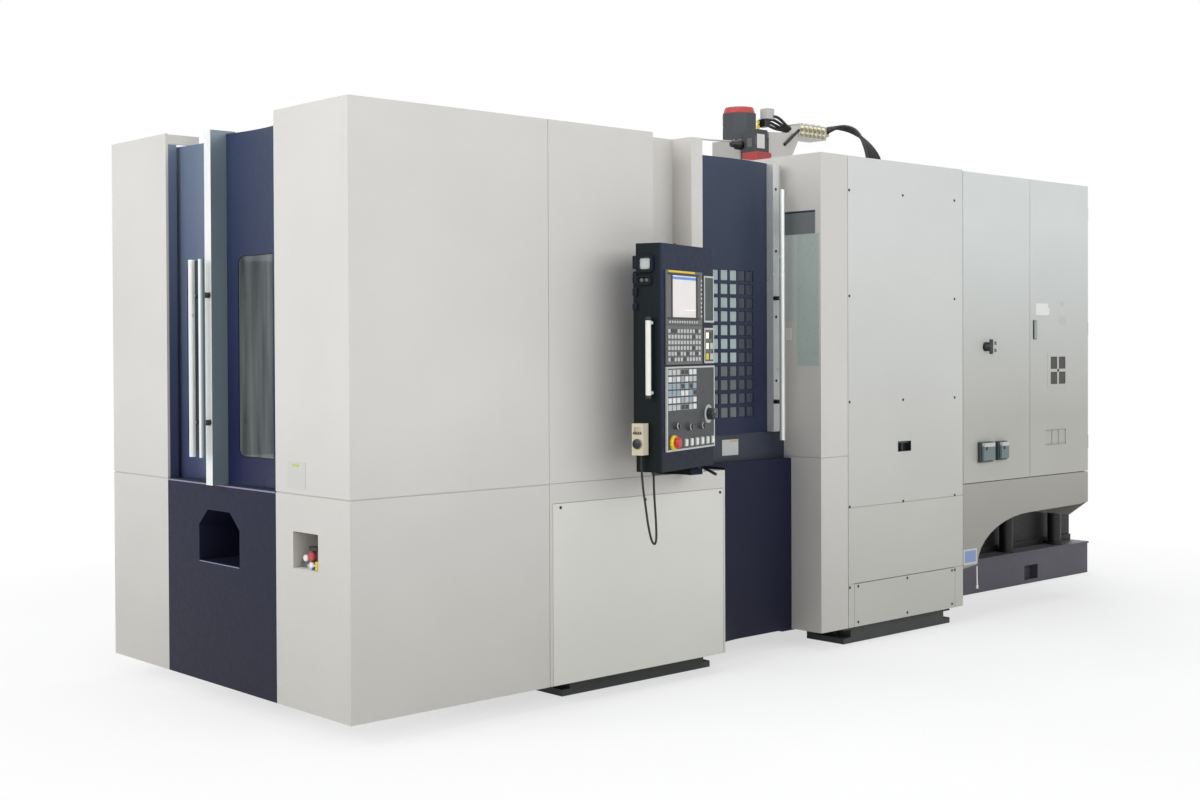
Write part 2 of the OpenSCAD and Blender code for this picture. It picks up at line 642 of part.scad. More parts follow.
// Sliding operator door with a bulged face and a grid of panes
module operator_door() color("midnightblue") shop() difference() {
  slab(sill_top, door_top) polygon(concat([for (i = [0:16]) let (f = 2*i/16 - 1)
    [door_x0 + (strip_x - door_x0)*i/16, door_y - door_bulge*(1 - f*f)]], [[strip_x, door_back], [door_x0, door_back]]));
  for (i = [0:pane_cols - 1], j = [0:pane_rows - 1])
    box([pane_x + i*pane_pitch, 200, pane_z + j*pane_pitch],
      [pane_x + (i + 1)*pane_pitch - pane_bar, door_back + 10, pane_z + (j + 1)*pane_pitch - pane_bar]);
}
module operator_window() color("darkseagreen") shop()
  box([pane_x - 20, door_back, pane_z - 20], [pane_x + grid_w + 20, door_back + 8, pane_z + grid_h + 20]);
// Steel closing strip with the long tubular grip
module operator_pull() color("silver") shop() {
  box([strip_x, door_y - strip_h, sill_top], [strip_x + strip_w, door_back, door_top]);
  rod_z(1085, 2374, strip_x + 8, 170, grip_r);
  for (z = [1282, 1816]) rod_y(170, door_y - strip_h, strip_x + 8, z, 8);
  for (z = [1450, 2060]) rod_y(door_y - strip_h - 10, door_y - strip_h, strip_x + 30, z, 5);
}

// Cabinet doors
module cabinet_door_left() color("whitesmoke") shop() {
  box([cab_x + 3, 0, cab_base], [cab_split - 2, cab_door_t, cover_top - 3]);
  box([cab_x + 140, -22, cab_base + 115], [cab_x + 266, 0, cab_base + 228]);
  box([cab_x + 318, -22, cab_base + 120], [cab_x + 407, 0, cab_base + 226]);
  for (z = hinge_z) rod_z(z, z + 80, cab_x + 3, 0, 2.8);
}
module main_switch() color("black") shop() {
  rod_y(-12, -door_clear, cab_x + 221, 1560, 26);
  box([cab_x + 213, -36, 1535], [cab_x + 229, -12, 1585]);
}
module cabinet_door_right() color("whitesmoke") shop() {
  difference() {
    box([cab_split + 2, 0, cab_base], [cab_end, cab_door_t, cover_top - 3]);
    for (i = [0, 1], j = [0, 1]) translate([cab_split + 200 + i*114, 0, 1306 + j*114]) box([0, -1, 0], [102, 6, 102]);
    for (i = [0:2]) translate([cab_split + 178 + i*76, 0, 965]) box([0, -1, 0], [68, 6, 90]);
  }
  for (z = hinge_z) rod_z(z, z + 80, cab_end, 0, 2.8);
}
module cabinet_latch() color("darkslategray") shop() {
  box([cab_split + 34, -8, latch_z + 3.85], [cab_split + 64, -door_clear, latch_z + 113]);
  rod_x(cab_split + 34, cab_split + 64, -4 - door_clear/2, latch_z + 3.85, 3.85);
}

// Operator panel: its own frame starts at the lower left front corner
module on_panel() shop() translate([pivot[0], pivot[1], 0]) rotate([0, 0, pend_yaw])
  translate([-pivot_at[0], -pivot_at[1], 0]) children();
module keys(u0, z0, nu, nz, pu, pz, w, h, d) for (i = [0:nu - 1], j = [0:nz - 1])
  box([u0 + i*pu, -d, z0 + j*pz], [u0 + i*pu + w, -6, z0 + j*pz + h]);
module panel_shell() color("darkslategray") on_panel() difference() {
  union() {
    slab(pend_z0, pend_z1) rrect(pend_w, pend_d, 8);
    box([40, pend_d, pend_z0 + 76], [pend_w - 40, pend_d + 30, pend_z1 - 120]);
  }
  rod_z(pend_z0 - 1, pend_z0 + 70, pivot_at[0], pivot_at[1], 20);
}
module screen_unit() color("dimgray") on_panel() {
  difference() {
    box([unit_l, -6, 1666], [409, 0, 1905]);
    box([101, -7, 1699], [347, -3, 1884]);
  }
  keys(62, 1672, 12, 1, 25, 20, 19, 13, 8);
  keys(386, 1700, 1, 9, 20, 20, 16, 14, 8);
  box([unit_r, -5, 1679], [pend_w - 10, 0, 1892]);
}
module keyboard() color("dimgray") on_panel() {
  box([unit_l, -6, 1491], [409, 0, 1664]);
  keys(52, 1504, 11, 6, 31, 25, 25, 19, 8);
  difference() {
    box([unit_r, -6, 1493], [pend_w - 10, 0, 1655]);
    box([unit_r + 8, -7, 1501], [pend_w - 18, -4, 1647]);
  }
  for (i = [0, 1], j = [0:2]) translate([unit_r + 14 + i*45, 0, 1508 + j*48]) box([0, -7, 0], [34, -4, 32]);
}
module operation_panel() color("silver") on_panel() difference() {
  union() {
    box([unit_l, -6, 1110], [pend_w - 5, 0, 1482]);
    keys(52, 1290, 7, 6, 42, 31, 34, 24, 9);
    for (p = [[126, 1222], [258, 1212], [384, 1213]]) rod_y(-24, -6, p[0], p[1], 14);
    for (i = [0:5]) box([216 + i*56, -12, 1126], [244 + i*56, -6, 1160]);
    rod_y(-10, -6, stop_u, stop_z, 30);
    rod_y(-8, -6, knob_u, knob_z, 42);
  }
  rod_y(-11, 1, stop_u, stop_z, 12.05);
}
module panel_grip() color("white") on_panel() {
  rod_z(1344, 1700, -34, 45, 12);
  for (z = [1370, 1674]) rod_x(-34, 0, 45, z, 8);
}
module handwheel_unit() color("beige") on_panel() {
  difference() {
    box([-60, 59, 1101], [-8, 113, 1238]);
    box([-61, 70, 1190], [-52, 102, 1222]);
  }
  rod_x(-66, -60, 86, 1150, 22);
  box([-8, 66, 1120], [0, 106, 1225]);
  rod_z(1100, 1101, -30, 83, 9);
}
module handwheel_cable() color("black") on_panel() {
  p = smooth(cable_way, 3);
  n = len(p);
  m = 8;
  rings = [for (k = [0:n - 1]) let (d = k == 0 ? [0, 0, -1] : k == n - 1 ? [0, 0, 1] : unit(p[k + 1] - p[k - 1]),
    q = unit(cross([0, 1, 0], d)), s = cross(d, q)) for (j = [0:m - 1]) p[k] + cable_r*(cos(360*j/m)*q + sin(360*j/m)*s)];
  polyhedron(points = rings, faces = tube_faces(n, m), convexity = 6);
}
module emergency_stop() color("red") on_panel() {
  rod_y(-stop_out, 14 - stop_out, stop_u, stop_z, stop_r);
  rod_y(14 - stop_out, -5.3, stop_u, stop_z, 12);
}
module override_knob() color("black") on_panel() {
  rod_y(-34, -8.3, knob_u, knob_z, 26);
  box([knob_u - 3, -38, knob_z - 22], [knob_u + 3, -34, knob_z + 22]);
}

// Turning arm of the pallet changer with its shield and forks
module changer_arm() color("silver") shop() {
  rod_z(fork_top - 110 + run_gap, fork_top, apc_x, axis_y, 165);
  box([apc_x - 320, axis_y - 60, fork_top - 50], [apc_x + 320, axis_y + 60, fork_top]);
  for (m = [0, 1]) translate([m*2*apc_x, 0, 0]) mirror([m, 0, 0]) {
    box([apc_x - 340, axis_y - 265, fork_top - 50], [apc_x - 300, axis_y + 265, fork_top]);
    for (y = [axis_y - 265, axis_y + 205]) box([apc_x - apc_reach - 250, y, fork_top - 50], [apc_x - 340, y + 60, fork_top]);
  }
  box([apc_x - 10, axis_y - shield_r, fork_top], [apc_x + 10, axis_y + shield_r, 2300]);
  for (y = [axis_y - 400, axis_y + 340]) box([apc_x - 60, y, fork_top], [apc_x - 10, y + 60, 2200]);
  box([apc_x - 60, axis_y - 400, fork_top], [apc_x - 10, axis_y + 400, fork_top + 60]);
}
module plate(x, z) difference() {
  translate([x - pallet/2, axis_y - pallet/2, z]) cube([pallet, pallet, pallet_t]);
  for (i = [-1.5:1.5], j = [-1.5:1.5]) rod_z(z + pallet_t - 30, z + pallet_t + 1, x + i*120, axis_y + j*120, 9);
}
module pallet_front() color("gray") shop() plate(apc_x - apc_reach, fork_top);
module pallet_work() color("gray") shop() plate(table_x, pallet_z);
module table_saddle() color("silver") shop() difference() {
  box([table_x - 300, axis_y - 350, bed_top + rail_h + run_gap], [table_x + 300, axis_y + 350, table_low]);
  box([table_x - 301, axis_y - 200, bed_top], [table_x + 301, axis_y + 200, 700]);
}
module rotary_table() color("silver") shop() rod_z(table_low + run_gap, pallet_z, table_x, axis_y, table_r);

// Column on its cross rails, with face rails and a motor stand
module column() color("gainsboro") shop() {
  difference() {
    union() {
      box([col_x, axis_y - col_w/2, bed_top + rail_h + run_gap], [col_x + col_d, axis_y + col_w/2, col_top]);
      for (y = [axis_y - 180, axis_y + 130]) box([slide_x, y, spindle_z - 600], [col_x, y + 50, col_top - 100]);
    }
    box([col_x - 30, axis_y - 120, spindle_z - 500], [col_x + col_d - col_cut, axis_y + 120, col_top - 150]);
  }
  box([motor_x - 110, axis_y - 110, col_top], [motor_x + 110, axis_y + 110, motor_z]);
}
module spindle_head() color("silver") shop() difference() {
  union() {
    box([head_x, axis_y - 180, spindle_z - 180], [slide_x - run_gap, axis_y + 180, spindle_z + 180]);
    rod_x(nose_x + 30, head_x, axis_y, spindle_z, 120);
  }
  rod_x(nose_x, col_x - 50, axis_y, spindle_z, spindle_r);
}
module spindle() color("silver") shop() difference() {
  rod_x(nose_x, col_x - 50.5, axis_y, spindle_z, spindle_r - 0.05);
  rod_x(nose_x - 1, nose_x + 70, axis_y, spindle_z, 22);
}
// Octagonal servo motor with its tapered end cap
module servo_motor() color("dimgray") shop() translate([motor_x, axis_y, motor_z]) rotate([0, 0, 22.5]) {
  cylinder(h = 160, r = motor_w/2/cos(22.5), $fn = 8);
  translate([0, 0, 160]) cylinder(h = 36, r = motor_w/2.3, $fn = 48);
}
module tool_magazine() color("silver") shop() difference() {
  union() {
    rod_x(mag_x - 69.7, mag_x, mag_y, mag_z, mag_r);
    for (a = [0:22.5:359]) rod_x(bed_step, mag_x - 69.7, mag_y + pot_r*cos(a), mag_z + pot_r*sin(a), 38);
  }
  for (a = [0:22.5:359]) rod_x(bed_step - 1, mag_x - 89.7, mag_y + pot_r*cos(a), mag_z + pot_r*sin(a), 24);
}
module tool_arm() color("silver") shop() {
  x0 = bed_step - 110;
  x1 = x0 + 40;
  rod_x(x1, bed_step - run_gap, atc_y, mag_z, 40);
  box([x0, atc_y - 40, mag_z - 240], [x1, atc_y + 40, mag_z + 240]);
  for (s = [-1, 1]) difference() {
    rod_x(x0, x1, atc_y, mag_z + s*260, 55);
    rod_x(x0 - 1, x1 + 1, atc_y, mag_z + s*275, 35);
  }
}

bed();
corner_cover();
corner_cover_lower();
far_cover();
front_apron();
side_cover();
side_cover_lower();
side_service_panel();
operator_apron();
door_tracks();
mid_corner_cover();
mid_service_panel();
mid_kick_panel();
far_side_cover();
top_covers();
inner_partition();
cabinet_body();
cabinet_skirt();
servo_drives();
coolant_tank();
rear_housing();
magazine_stand();
panel_bracket();
cover_screws();
regulator();
column_bracket();
hose_bundle();
near_door();
near_window();
near_pull();
far_door();
far_window();
far_pull();
operator_door();
operator_window();
operator_pull();
cabinet_door_left();
main_switch();
cabinet_door_right();
cabinet_latch();
panel_shell();
screen_unit();
keyboard();
operation_panel();
panel_grip();
handwheel_unit();
handwheel_cable();
emergency_stop();
override_knob();
changer_arm();
pallet_front();
table_saddle();
rotary_table();
pallet_work();
column();
spindle_head();
spindle();
servo_motor();
tool_magazine();
tool_arm();
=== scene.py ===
import bpy, bmesh, math
from mathutils import Vector, Matrix


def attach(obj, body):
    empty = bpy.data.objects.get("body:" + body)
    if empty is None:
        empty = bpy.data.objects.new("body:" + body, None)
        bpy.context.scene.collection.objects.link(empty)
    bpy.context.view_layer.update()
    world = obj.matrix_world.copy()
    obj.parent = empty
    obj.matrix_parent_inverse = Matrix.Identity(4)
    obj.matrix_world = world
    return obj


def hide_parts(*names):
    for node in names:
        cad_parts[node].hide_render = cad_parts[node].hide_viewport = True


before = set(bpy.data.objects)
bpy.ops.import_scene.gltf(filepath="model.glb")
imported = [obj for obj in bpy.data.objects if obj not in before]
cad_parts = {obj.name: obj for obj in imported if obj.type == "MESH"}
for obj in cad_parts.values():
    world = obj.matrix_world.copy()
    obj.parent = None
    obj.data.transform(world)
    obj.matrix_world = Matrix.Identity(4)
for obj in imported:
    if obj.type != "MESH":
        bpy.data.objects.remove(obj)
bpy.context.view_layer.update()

# Places in millimetres, with X from the front face, Y from the operator face and Z from the floor
MACHINE_WIDTH = 2400
# Operator panel: its turn, the place of its post, and its post and its foremost point in its own measures
YAW = math.radians(18.75)
POST_X, POST_Y = 1817, -80
POST_U, POST_D = 500, 100
FRONT_U, FRONT_D = 80, -42
FRONT_Y = POST_Y + (FRONT_U - POST_U) * math.sin(YAW) + (FRONT_D - POST_D) * math.cos(YAW)
# Middle of the machine, where the frame has its origin
SX, SY = 3136.0, (MACHINE_WIDTH + FRONT_Y) / 2

# Bodies that the pieces ride on
FR, PB, CB = "machine_frame", "operator_panel", "column"
ND, FD, OD = "near_front_door", "far_front_door", "operator_door"
LD, RD = "cabinet_left_door", "cabinet_right_door"


def S(x, y, z):
    """Machine millimetres to metres in the frame."""
    return Vector(((x - SX) / 1000, (y - SY) / 1000, z / 1000))


def P(u, d, z):
    """Operator panel millimetres: u along its face, d into it, z up."""
    a, b = u - POST_U, d - POST_D
    x = POST_X + a * math.cos(YAW) - b * math.sin(YAW)
    y = POST_Y + a * math.sin(YAW) + b * math.cos(YAW)
    return S(x, y, z)


# Camera, fitted to the photograph's vertical and horizontal edges
cam_data = bpy.data.cameras.new("view_camera")
cam_data.lens = 47.31
cam_data.sensor_width = 36
cam_data.sensor_fit = "HORIZONTAL"
cam_data.shift_y = -0.0288
cam = bpy.data.objects.new("view_camera", cam_data)
bpy.context.scene.collection.objects.link(cam)
cam.location = (-6.5635, -6.2014, 1.578)
aim = Vector((0.6763, 0.7366, -0.0129)).to_track_quat("-Z", "Y").to_matrix()
cam.rotation_euler = (aim @ Matrix.Rotation(math.radians(-0.23), 3, "Z")).to_euler()
bpy.context.scene.camera = cam


# Materials
# Sockets of the Mix node for colours: its two inputs and its result
MIX_A, MIX_B, MIX_OUT = 6, 7, 2


def lin(r, g, b):
    """Screen colour, 0 to 255 each, as the linear colour that a shader takes."""
    parts = [c / 255 for c in (r, g, b)]
    return tuple(c / 12.92 if c <= 0.04045 else ((c + 0.055) / 1.055) ** 2.4 for c in parts) + (1,)


def _new(name):
    """New node material, its tree and its shader."""
    m = bpy.data.materials.new(name)
    m.use_nodes = True
    nt = m.node_tree
    return m, nt, nt.nodes["Principled BSDF"]


def _coord(nt, scale):
    """Object coordinates in metres, stretched by a scale for each axis."""
    tc = nt.nodes.new("ShaderNodeTexCoord")
    mp = nt.nodes.new("ShaderNodeMapping")
    mp.inputs["Scale"].default_value = scale
    nt.links.new(tc.outputs["Object"], mp.inputs["Vector"])
    return mp.outputs["Vector"]


def _noise(nt, vec, scale, detail=3.0):
    """Cloudy noise, whose values lie mostly between 0.3 and 0.7."""
    n = nt.nodes.new("ShaderNodeTexNoise")
    n.inputs["Scale"].default_value = scale
    n.inputs["Detail"].default_value = detail
    nt.links.new(vec, n.inputs["Vector"])
    return n.outputs["Fac"]


def _range(nt, fac, lo, hi, a=0.3, b=0.7):
    """A value that goes from lo to hi while fac goes from a to b."""
    r = nt.nodes.new("ShaderNodeMapRange")
    r.inputs["From Min"].default_value = a
    r.inputs["From Max"].default_value = b
    r.inputs["To Min"].default_value = lo
    r.inputs["To Max"].default_value = hi
    nt.links.new(fac, r.inputs["Value"])
    return r.outputs["Result"]


def _mix(nt, fac, c1, c2):
    """Colour between c1 and c2, each a colour or a socket."""
    m = nt.nodes.new("ShaderNodeMix")
    m.data_type = "RGBA"
    nt.links.new(fac, m.inputs["Factor"])
    for i, c in ((MIX_A, c1), (MIX_B, c2)):
        if isinstance(c, tuple):
            m.inputs[i].default_value = c
        else:
            nt.links.new(c, m.inputs[i])
    return m.outputs[MIX_OUT]


def _tone(c, k):
    """Colour c made k times as light."""
    return (min(1, c[0] * k), min(1, c[1] * k), min(1, c[2] * k), 1)


def _bump(nt, bsdf, fac, strength, dist):
    """Fine relief on the shader, its height in metres."""
    b = nt.nodes.new("ShaderNodeBump")
    b.inputs["Strength"].default_value = strength
    b.inputs["Distance"].default_value = dist
    nt.links.new(fac, b.inputs["Height"])
    nt.links.new(b.outputs["Normal"], bsdf.inputs["Normal"])


def _facing(nt, axis, low, high):
    """How far a face looks along an axis of its own body: 0 below low, 1 above high."""
    sep = nt.nodes.new("ShaderNodeSeparateXYZ")
    nt.links.new(nt.nodes.new("ShaderNodeTexCoord").outputs["Normal"], sep.inputs[0])
    size = nt.nodes.new("ShaderNodeMath")
    size.operation = "ABSOLUTE"
    nt.links.new(sep.outputs[axis], size.inputs[0])
    return _range(nt, size.outputs[0], 0, 1, low, high)


def paint(name, rgb, rough=0.42, mott=0.03, foot_shade_and_paint=None, span=(0.05, 1.25), peel=0.25, fine=420.0, coat=0.0,
          spec=0.5, side=None):
    """Powder coat with orange peel. Towards the low end of the span it darkens to a lower tone as painted
    shade, which on a sharp step of the span is a second paint instead; on faces that look along X the side
    tone is painted shade.
    """
    m, nt, b = _new(name)
    c = lin(*rgb)
    v = _coord(nt, (1, 1, 1))
    cloud = _noise(nt, v, 1.6, 5.0)
    speck = _noise(nt, v, 55.0, 2.0)
    tone = _mix(nt, _range(nt, cloud, 0, 1), _tone(c, 1 - mott), _tone(c, 1 + mott))
    sep = nt.nodes.new("ShaderNodeSeparateXYZ")
    nt.links.new(v, sep.inputs[0])
    shade_and_paint_ramp = _range(nt, sep.outputs["Z"], 0, 1, *span)
    low = lin(*foot_shade_and_paint) if foot_shade_and_paint else _tone(c, 0.93)
    ratio = tuple(low[i] / c[i] for i in range(3)) + (1,)
    mul = nt.nodes.new("ShaderNodeMix")
    mul.data_type = "RGBA"
    mul.blend_type = "MULTIPLY"
    mul.inputs["Factor"].default_value = 1.0
    nt.links.new(tone, mul.inputs[MIX_A])
    nt.links.new(_mix(nt, shade_and_paint_ramp, ratio, (1, 1, 1, 1)), mul.inputs[MIX_B])
    shade = mul.outputs[MIX_OUT]
    if side:
        shade = _mix(nt, _facing(nt, "X", 0.75, 0.97), shade, lin(*side))
    nt.links.new(shade, b.inputs["Base Color"])
    nt.links.new(_range(nt, speck, rough - 0.05, rough + 0.07), b.inputs["Roughness"])
    b.inputs["Coat Weight"].default_value = coat
    b.inputs["Specular IOR Level"].default_value = spec
    _bump(nt, b, _noise(nt, v, fine, 2.0), peel, 0.0006)
    return m


def brushed(name, rgb, rough=0.30, stretch=(90, 90, 3), metal=1.0, side=None):
    """Metal with fine lines along its least stretched axis, and the side tone on faces that look along Y as
    painted shade.
    """
    m, nt, b = _new(name)
    c = lin(*rgb)
    v = _coord(nt, stretch)
    line = _noise(nt, v, 8.0, 4.0)
    cloud = _noise(nt, _coord(nt, (1, 1, 1)), 3.0, 3.0)
    tone = _mix(nt, _range(nt, line, 0, 1), _tone(c, 0.90), _tone(c, 1.06))
    if side:
        tone = _mix(nt, _facing(nt, "Y", 0.3, 0.95), tone, lin(*side))
    nt.links.new(tone, b.inputs["Base Color"])
    b.inputs["Metallic"].default_value = metal
    nt.links.new(_range(nt, cloud, rough - 0.06, rough + 0.10), b.inputs["Roughness"])
    _bump(nt, b, line, 0.12, 0.0004)
    return m


def plastic(name, rgb, rough=0.5, mott=0.04, grain=260.0, peel=0.3, emit=0.0):
    """Moulded plastic with a fine grain, lit from behind where emit is given."""
    m, nt, b = _new(name)
    c = lin(*rgb)
    v = _coord(nt, (1, 1, 1))
    tone = _mix(nt, _range(nt, _noise(nt, v, 6.0, 4.0), 0, 1), _tone(c, 1 - mott), _tone(c, 1 + mott))
    nt.links.new(tone, b.inputs["Base Color"])
    nt.links.new(_range(nt, _noise(nt, v, 40.0, 2.0), rough - 0.06, rough + 0.06), b.inputs["Roughness"])
    _bump(nt, b, _noise(nt, v, grain, 2.0), peel, 0.0005)
    if emit:
        nt.links.new(tone, b.inputs["Emission Color"])
        b.inputs["Emission Strength"].default_value = emit
    return m


def cast(name, rgb, rough=0.6):
    """Painted casting with its coarse skin."""
    m, nt, b = _new(name)
    c = lin(*rgb)
    v = _coord(nt, (1, 1, 1))
    n = _noise(nt, v, 9.0, 6.0)
    nt.links.new(_mix(nt, _range(nt, n, 0, 1), _tone(c, 0.82), _tone(c, 1.15)), b.inputs["Base Color"])
    nt.links.new(_range(nt, n, rough - 0.08, rough + 0.12), b.inputs["Roughness"])
    _bump(nt, b, _noise(nt, v, 120.0, 5.0), 0.5, 0.001)
    return m


def glazing(name, rgb, see, rough=0.05, stretch=(1, 1, 1), swing=0.2):
    """Tinted glass that lets through the share see, its tone going lighter and darker over the pane."""
    m, nt, b = _new(name)
    c = lin(*rgb)
    v = _coord(nt, (1, 1, 1))
    n = _noise(nt, _coord(nt, stretch), 2.2, 3.0)
    nt.links.new(_mix(nt, _range(nt, n, 0, 1), _tone(c, 1 - swing), _tone(c, 1 + swing)),
                 b.inputs["Base Color"])
    b.inputs["Transmission Weight"].default_value = see
    b.inputs["IOR"].default_value = 1.45
    nt.links.new(_range(nt, _noise(nt, v, 18.0, 3.0), rough, rough + 0.06), b.inputs["Roughness"])
    return m


M = {}
# Paints
# Each paint darkens towards the low end of its span, to the tone given for it or else to 0.93 of its colour:
# painted shade lower down, but on the motor a second paint.
M["cover"] = paint("cover_paint", (207, 204, 198), 0.40, foot_shade_and_paint=(188, 185, 178), span=(0.3, 1.35))
M["panel"] = paint("service_paint", (212, 213, 209), 0.36, 0.025, (182, 181, 172), (0.3, 2.2))
M["sidepanel"] = paint("side_panel_paint", (214, 214, 205), 0.36, 0.025, (200, 200, 190), (0.3, 1.1))
M["cabinet"] = paint("cabinet_paint", (213, 217, 213), 0.36, 0.025, (176, 175, 167), (1.15, 2.3))
M["inner"] = paint("inner_paint", (176, 175, 170), 0.5)
M["blue"] = paint("front_door_blue", (48, 59, 84), 0.33, 0.05, (27, 32, 66), (1.2, 2.4), 0.2, spec=0.2)
# Lighter copy of the near door's blue for the far leaf and the cover's return: painted light, for a leaf that
# stands in shade.
M["bluefar"] = paint("far_door_blue_with_painted_light", (104, 118, 138), 0.33, 0.05, (66, 73, 104), (1.2, 2.4), 0.2,
                     coat=0.1, spec=0.3)
M["doorblue"] = paint("operator_door_blue", (60, 71, 88), 0.33, 0.08, (34, 40, 64), (1.4, 2.7), 0.2,
                      spec=0.2)
M["apron"] = paint("apron_blue", (33, 35, 56), 0.38, 0.05, (30, 31, 46), (0.05, 1.1), 0.2, spec=0.1)
# Pale lavender for thin lines on top edges, each standing in for the edge's highlight: painted highlight.
M["edge"] = paint("painted_edge_highlight", (128, 126, 152), 0.4)
M["arch"] = paint("skirt_paint", (160, 157, 149), 0.4, foot_shade_and_paint=(141, 139, 131), span=(0.3, 0.8))
# Panel paint: darker lower down and darker still on faces that look along X, painted shade on its lower part
# and its sides.
M["dark"] = paint("panel_dark", (31, 39, 60), 0.42, 0.06, (22, 28, 42), (1.1, 1.9), spec=0.12,
                  side=(18, 25, 25))
M["sill"] = paint("sill_dark", (36, 42, 58), 0.4, 0.05)
M["tank"] = paint("tank_paint", (80, 79, 88), 0.42, 0.12, spec=0.35)
M["housing"] = paint("housing_dark", (19, 18, 17), 0.45, 0.35, spec=0.35)
M["ltblue"] = paint("pale_blue_plate", (128, 148, 188), 0.4)
M["latchgreen"] = paint("latch_paint", (142, 160, 150), 0.4)
M["palegreen"] = paint("pale_green_plate", (178, 190, 184), 0.3, 0.06)
M["film"] = paint("pale_film", (196, 202, 198), 0.35, 0.06)
M["slate"] = paint("slate_plate", (112, 118, 118), 0.32, 0.06)
# The motor's housing changes its paint at the joint below its cap
M["motor"] = paint("motor_paint", (172, 62, 60), 0.4, 0.05, (58, 64, 68), (2.9095, 2.9105), 0.3, 260.0)
# Bare metals and castings
M["steel"] = brushed("brushed_steel", (190, 192, 190), 0.30)
M["ground"] = brushed("ground_steel", (165, 166, 166), 0.32, (4, 120, 120))
M["alu"] = brushed("satin_aluminium", (205, 206, 205), 0.38, metal=0.6)
# Closing strips get a dark slate tone on faces that look along Y: painted shade on their sides.
M["strip"] = brushed("closing_strip_steel", (232, 235, 232), 0.36, metal=0.3, side=(112, 126, 132))
M["tube"] = brushed("grip_tube_steel", (220, 223, 220), 0.3, metal=0.35)
M["brass"] = brushed("fitting_brass", (196, 192, 164), 0.4, metal=0.5)
M["cast"] = cast("cast_iron_paint", (52, 55, 54))
M["castgrey"] = cast("cast_iron_grey", (150, 150, 146), 0.5)
# Plastics and rubber
M["blank"] = plastic("blank_plate", (46, 56, 54), 0.4)
M["black"] = plastic("black_plastic", (26, 27, 30), 0.42)
M["rubber"] = plastic("black_rubber", (18, 18, 19), 0.62, 0.08, 180.0, 0.5)
M["grey"] = plastic("grey_plastic", (98, 99, 96), 0.5)
M["pale"] = plastic("pale_plastic", (190, 193, 190), 0.45)
M["white"] = plastic("white_plastic", (228, 228, 222), 0.4, 0.02)
M["keyblue"] = plastic("blue_grey_keys", (142, 166, 180), 0.45)
M["keydark"] = plastic("dark_keys", (58, 60, 62), 0.5)
M["beige"] = plastic("beige_plastic", (201, 193, 166), 0.5)
M["red"] = plastic("red_plastic", (196, 32, 26), 0.32, 0.05, peel=0.1)
M["capred"] = plastic("cap_red", (176, 62, 60), 0.42, 0.06)
M["yellow"] = plastic("yellow_plastic", (232, 198, 40), 0.4)
M["orangedull"] = plastic("orange_field", (214, 150, 92), 0.5)
M["olive"] = plastic("olive_field", (178, 196, 96), 0.45)
M["blue_bit"] = plastic("blue_fitting", (52, 92, 160), 0.4)
M["socket"] = plastic("socket_plastic", (104, 118, 118), 0.45)
M["socketdark"] = plastic("socket_body", (50, 58, 58), 0.45)
M["valvedark"] = plastic("valve_box_plastic", (54, 57, 60), 0.45)
M["slotgrey"] = plastic("slot_edge_grey", (150, 151, 145), 0.5)
M["vent"] = plastic("vent_mesh", (84, 81, 76), 0.6)
# Lit parts
M["lit"] = plastic("white_lit", (235, 233, 215), 0.4, 0.05, peel=0.1, emit=0.3)
M["screen"] = plastic("lit_screen", (200, 195, 192), 0.16, 0.03, peel=0.03, emit=0.42)
M["screenblue"] = plastic("screen_blue", (66, 118, 184), 0.2, 0.05, peel=0.05, emit=0.5)
# Panes and glass
# The operator door's opaque panes come in three tones: light in the upper rows as painted reflection, grey in
# the lower rows and dark in the right columns as painted shade.
M["panelight"] = plastic("pane_painted_reflection", (160, 176, 174), 0.14, 0.08, peel=0.02)
M["panegrey"] = plastic("pane_painted_half_shade", (92, 97, 98), 0.14, 0.10, peel=0.02)
M["panedark"] = plastic("pane_painted_shade", (44, 49, 58), 0.14, 0.10, peel=0.02)
M["pane"] = glazing("front_pane_glass", (84, 90, 89), 0.12, stretch=(1, 7, 0.5), swing=0.6)
M["glass"] = glazing("window_glass", (92, 102, 98), 0.45)
M["glassgrid"] = glazing("grid_glass", (120, 132, 132), 0.25, 0.08)

# Materials of the solids
NODE_MATS = {
    "cover": ["corner_cover", "corner_cover_lower", "far_cover", "side_cover", "side_cover_lower",
              "mid_corner_cover", "far_side_cover", "top_covers", "cabinet_body", "column_bracket"],
    "arch": ["cabinet_skirt"],
    "housing": ["rear_housing"],
    "sidepanel": ["side_service_panel"],
    "panel": ["mid_service_panel", "mid_kick_panel"],
    "cabinet": ["cabinet_door_left", "cabinet_door_right"],
    "inner": ["inner_partition", "column"],
    "blue": ["near_door"],
    "bluefar": ["far_door"],
    "doorblue": ["operator_door"],
    "apron": ["front_apron", "operator_apron"],
    "sill": ["door_tracks"],
    "dark": ["panel_shell", "panel_bracket"],
    "tank": ["coolant_tank"],
    "steel": ["changer_arm"],
    "strip": ["near_pull"],
    "tube": ["far_pull", "operator_pull"],
    "ground": ["table_saddle", "rotary_table", "spindle", "tool_arm", "tool_magazine", "spindle_head"],
    "alu": ["regulator"],
    "castgrey": ["pallet_front", "pallet_work"],
    "cast": ["bed", "magazine_stand"],
    "grey": ["servo_drives", "screen_unit", "keyboard"],
    "pale": ["operation_panel"],
    "black": ["main_switch", "override_knob", "cabinet_latch", "cover_screws"],
    "white": ["panel_grip"],
    "beige": ["handwheel_unit"],
    "red": ["emergency_stop"],
    "rubber": ["handwheel_cable", "hose_bundle"],
    "motor": ["servo_motor"],
    "glass": ["near_window", "far_window"],
    "glassgrid": ["operator_window"],
}
for key, nodes in NODE_MATS.items():
    for node in nodes:
        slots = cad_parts[node].data.materials
        slots.clear()
        slots.append(M[key])


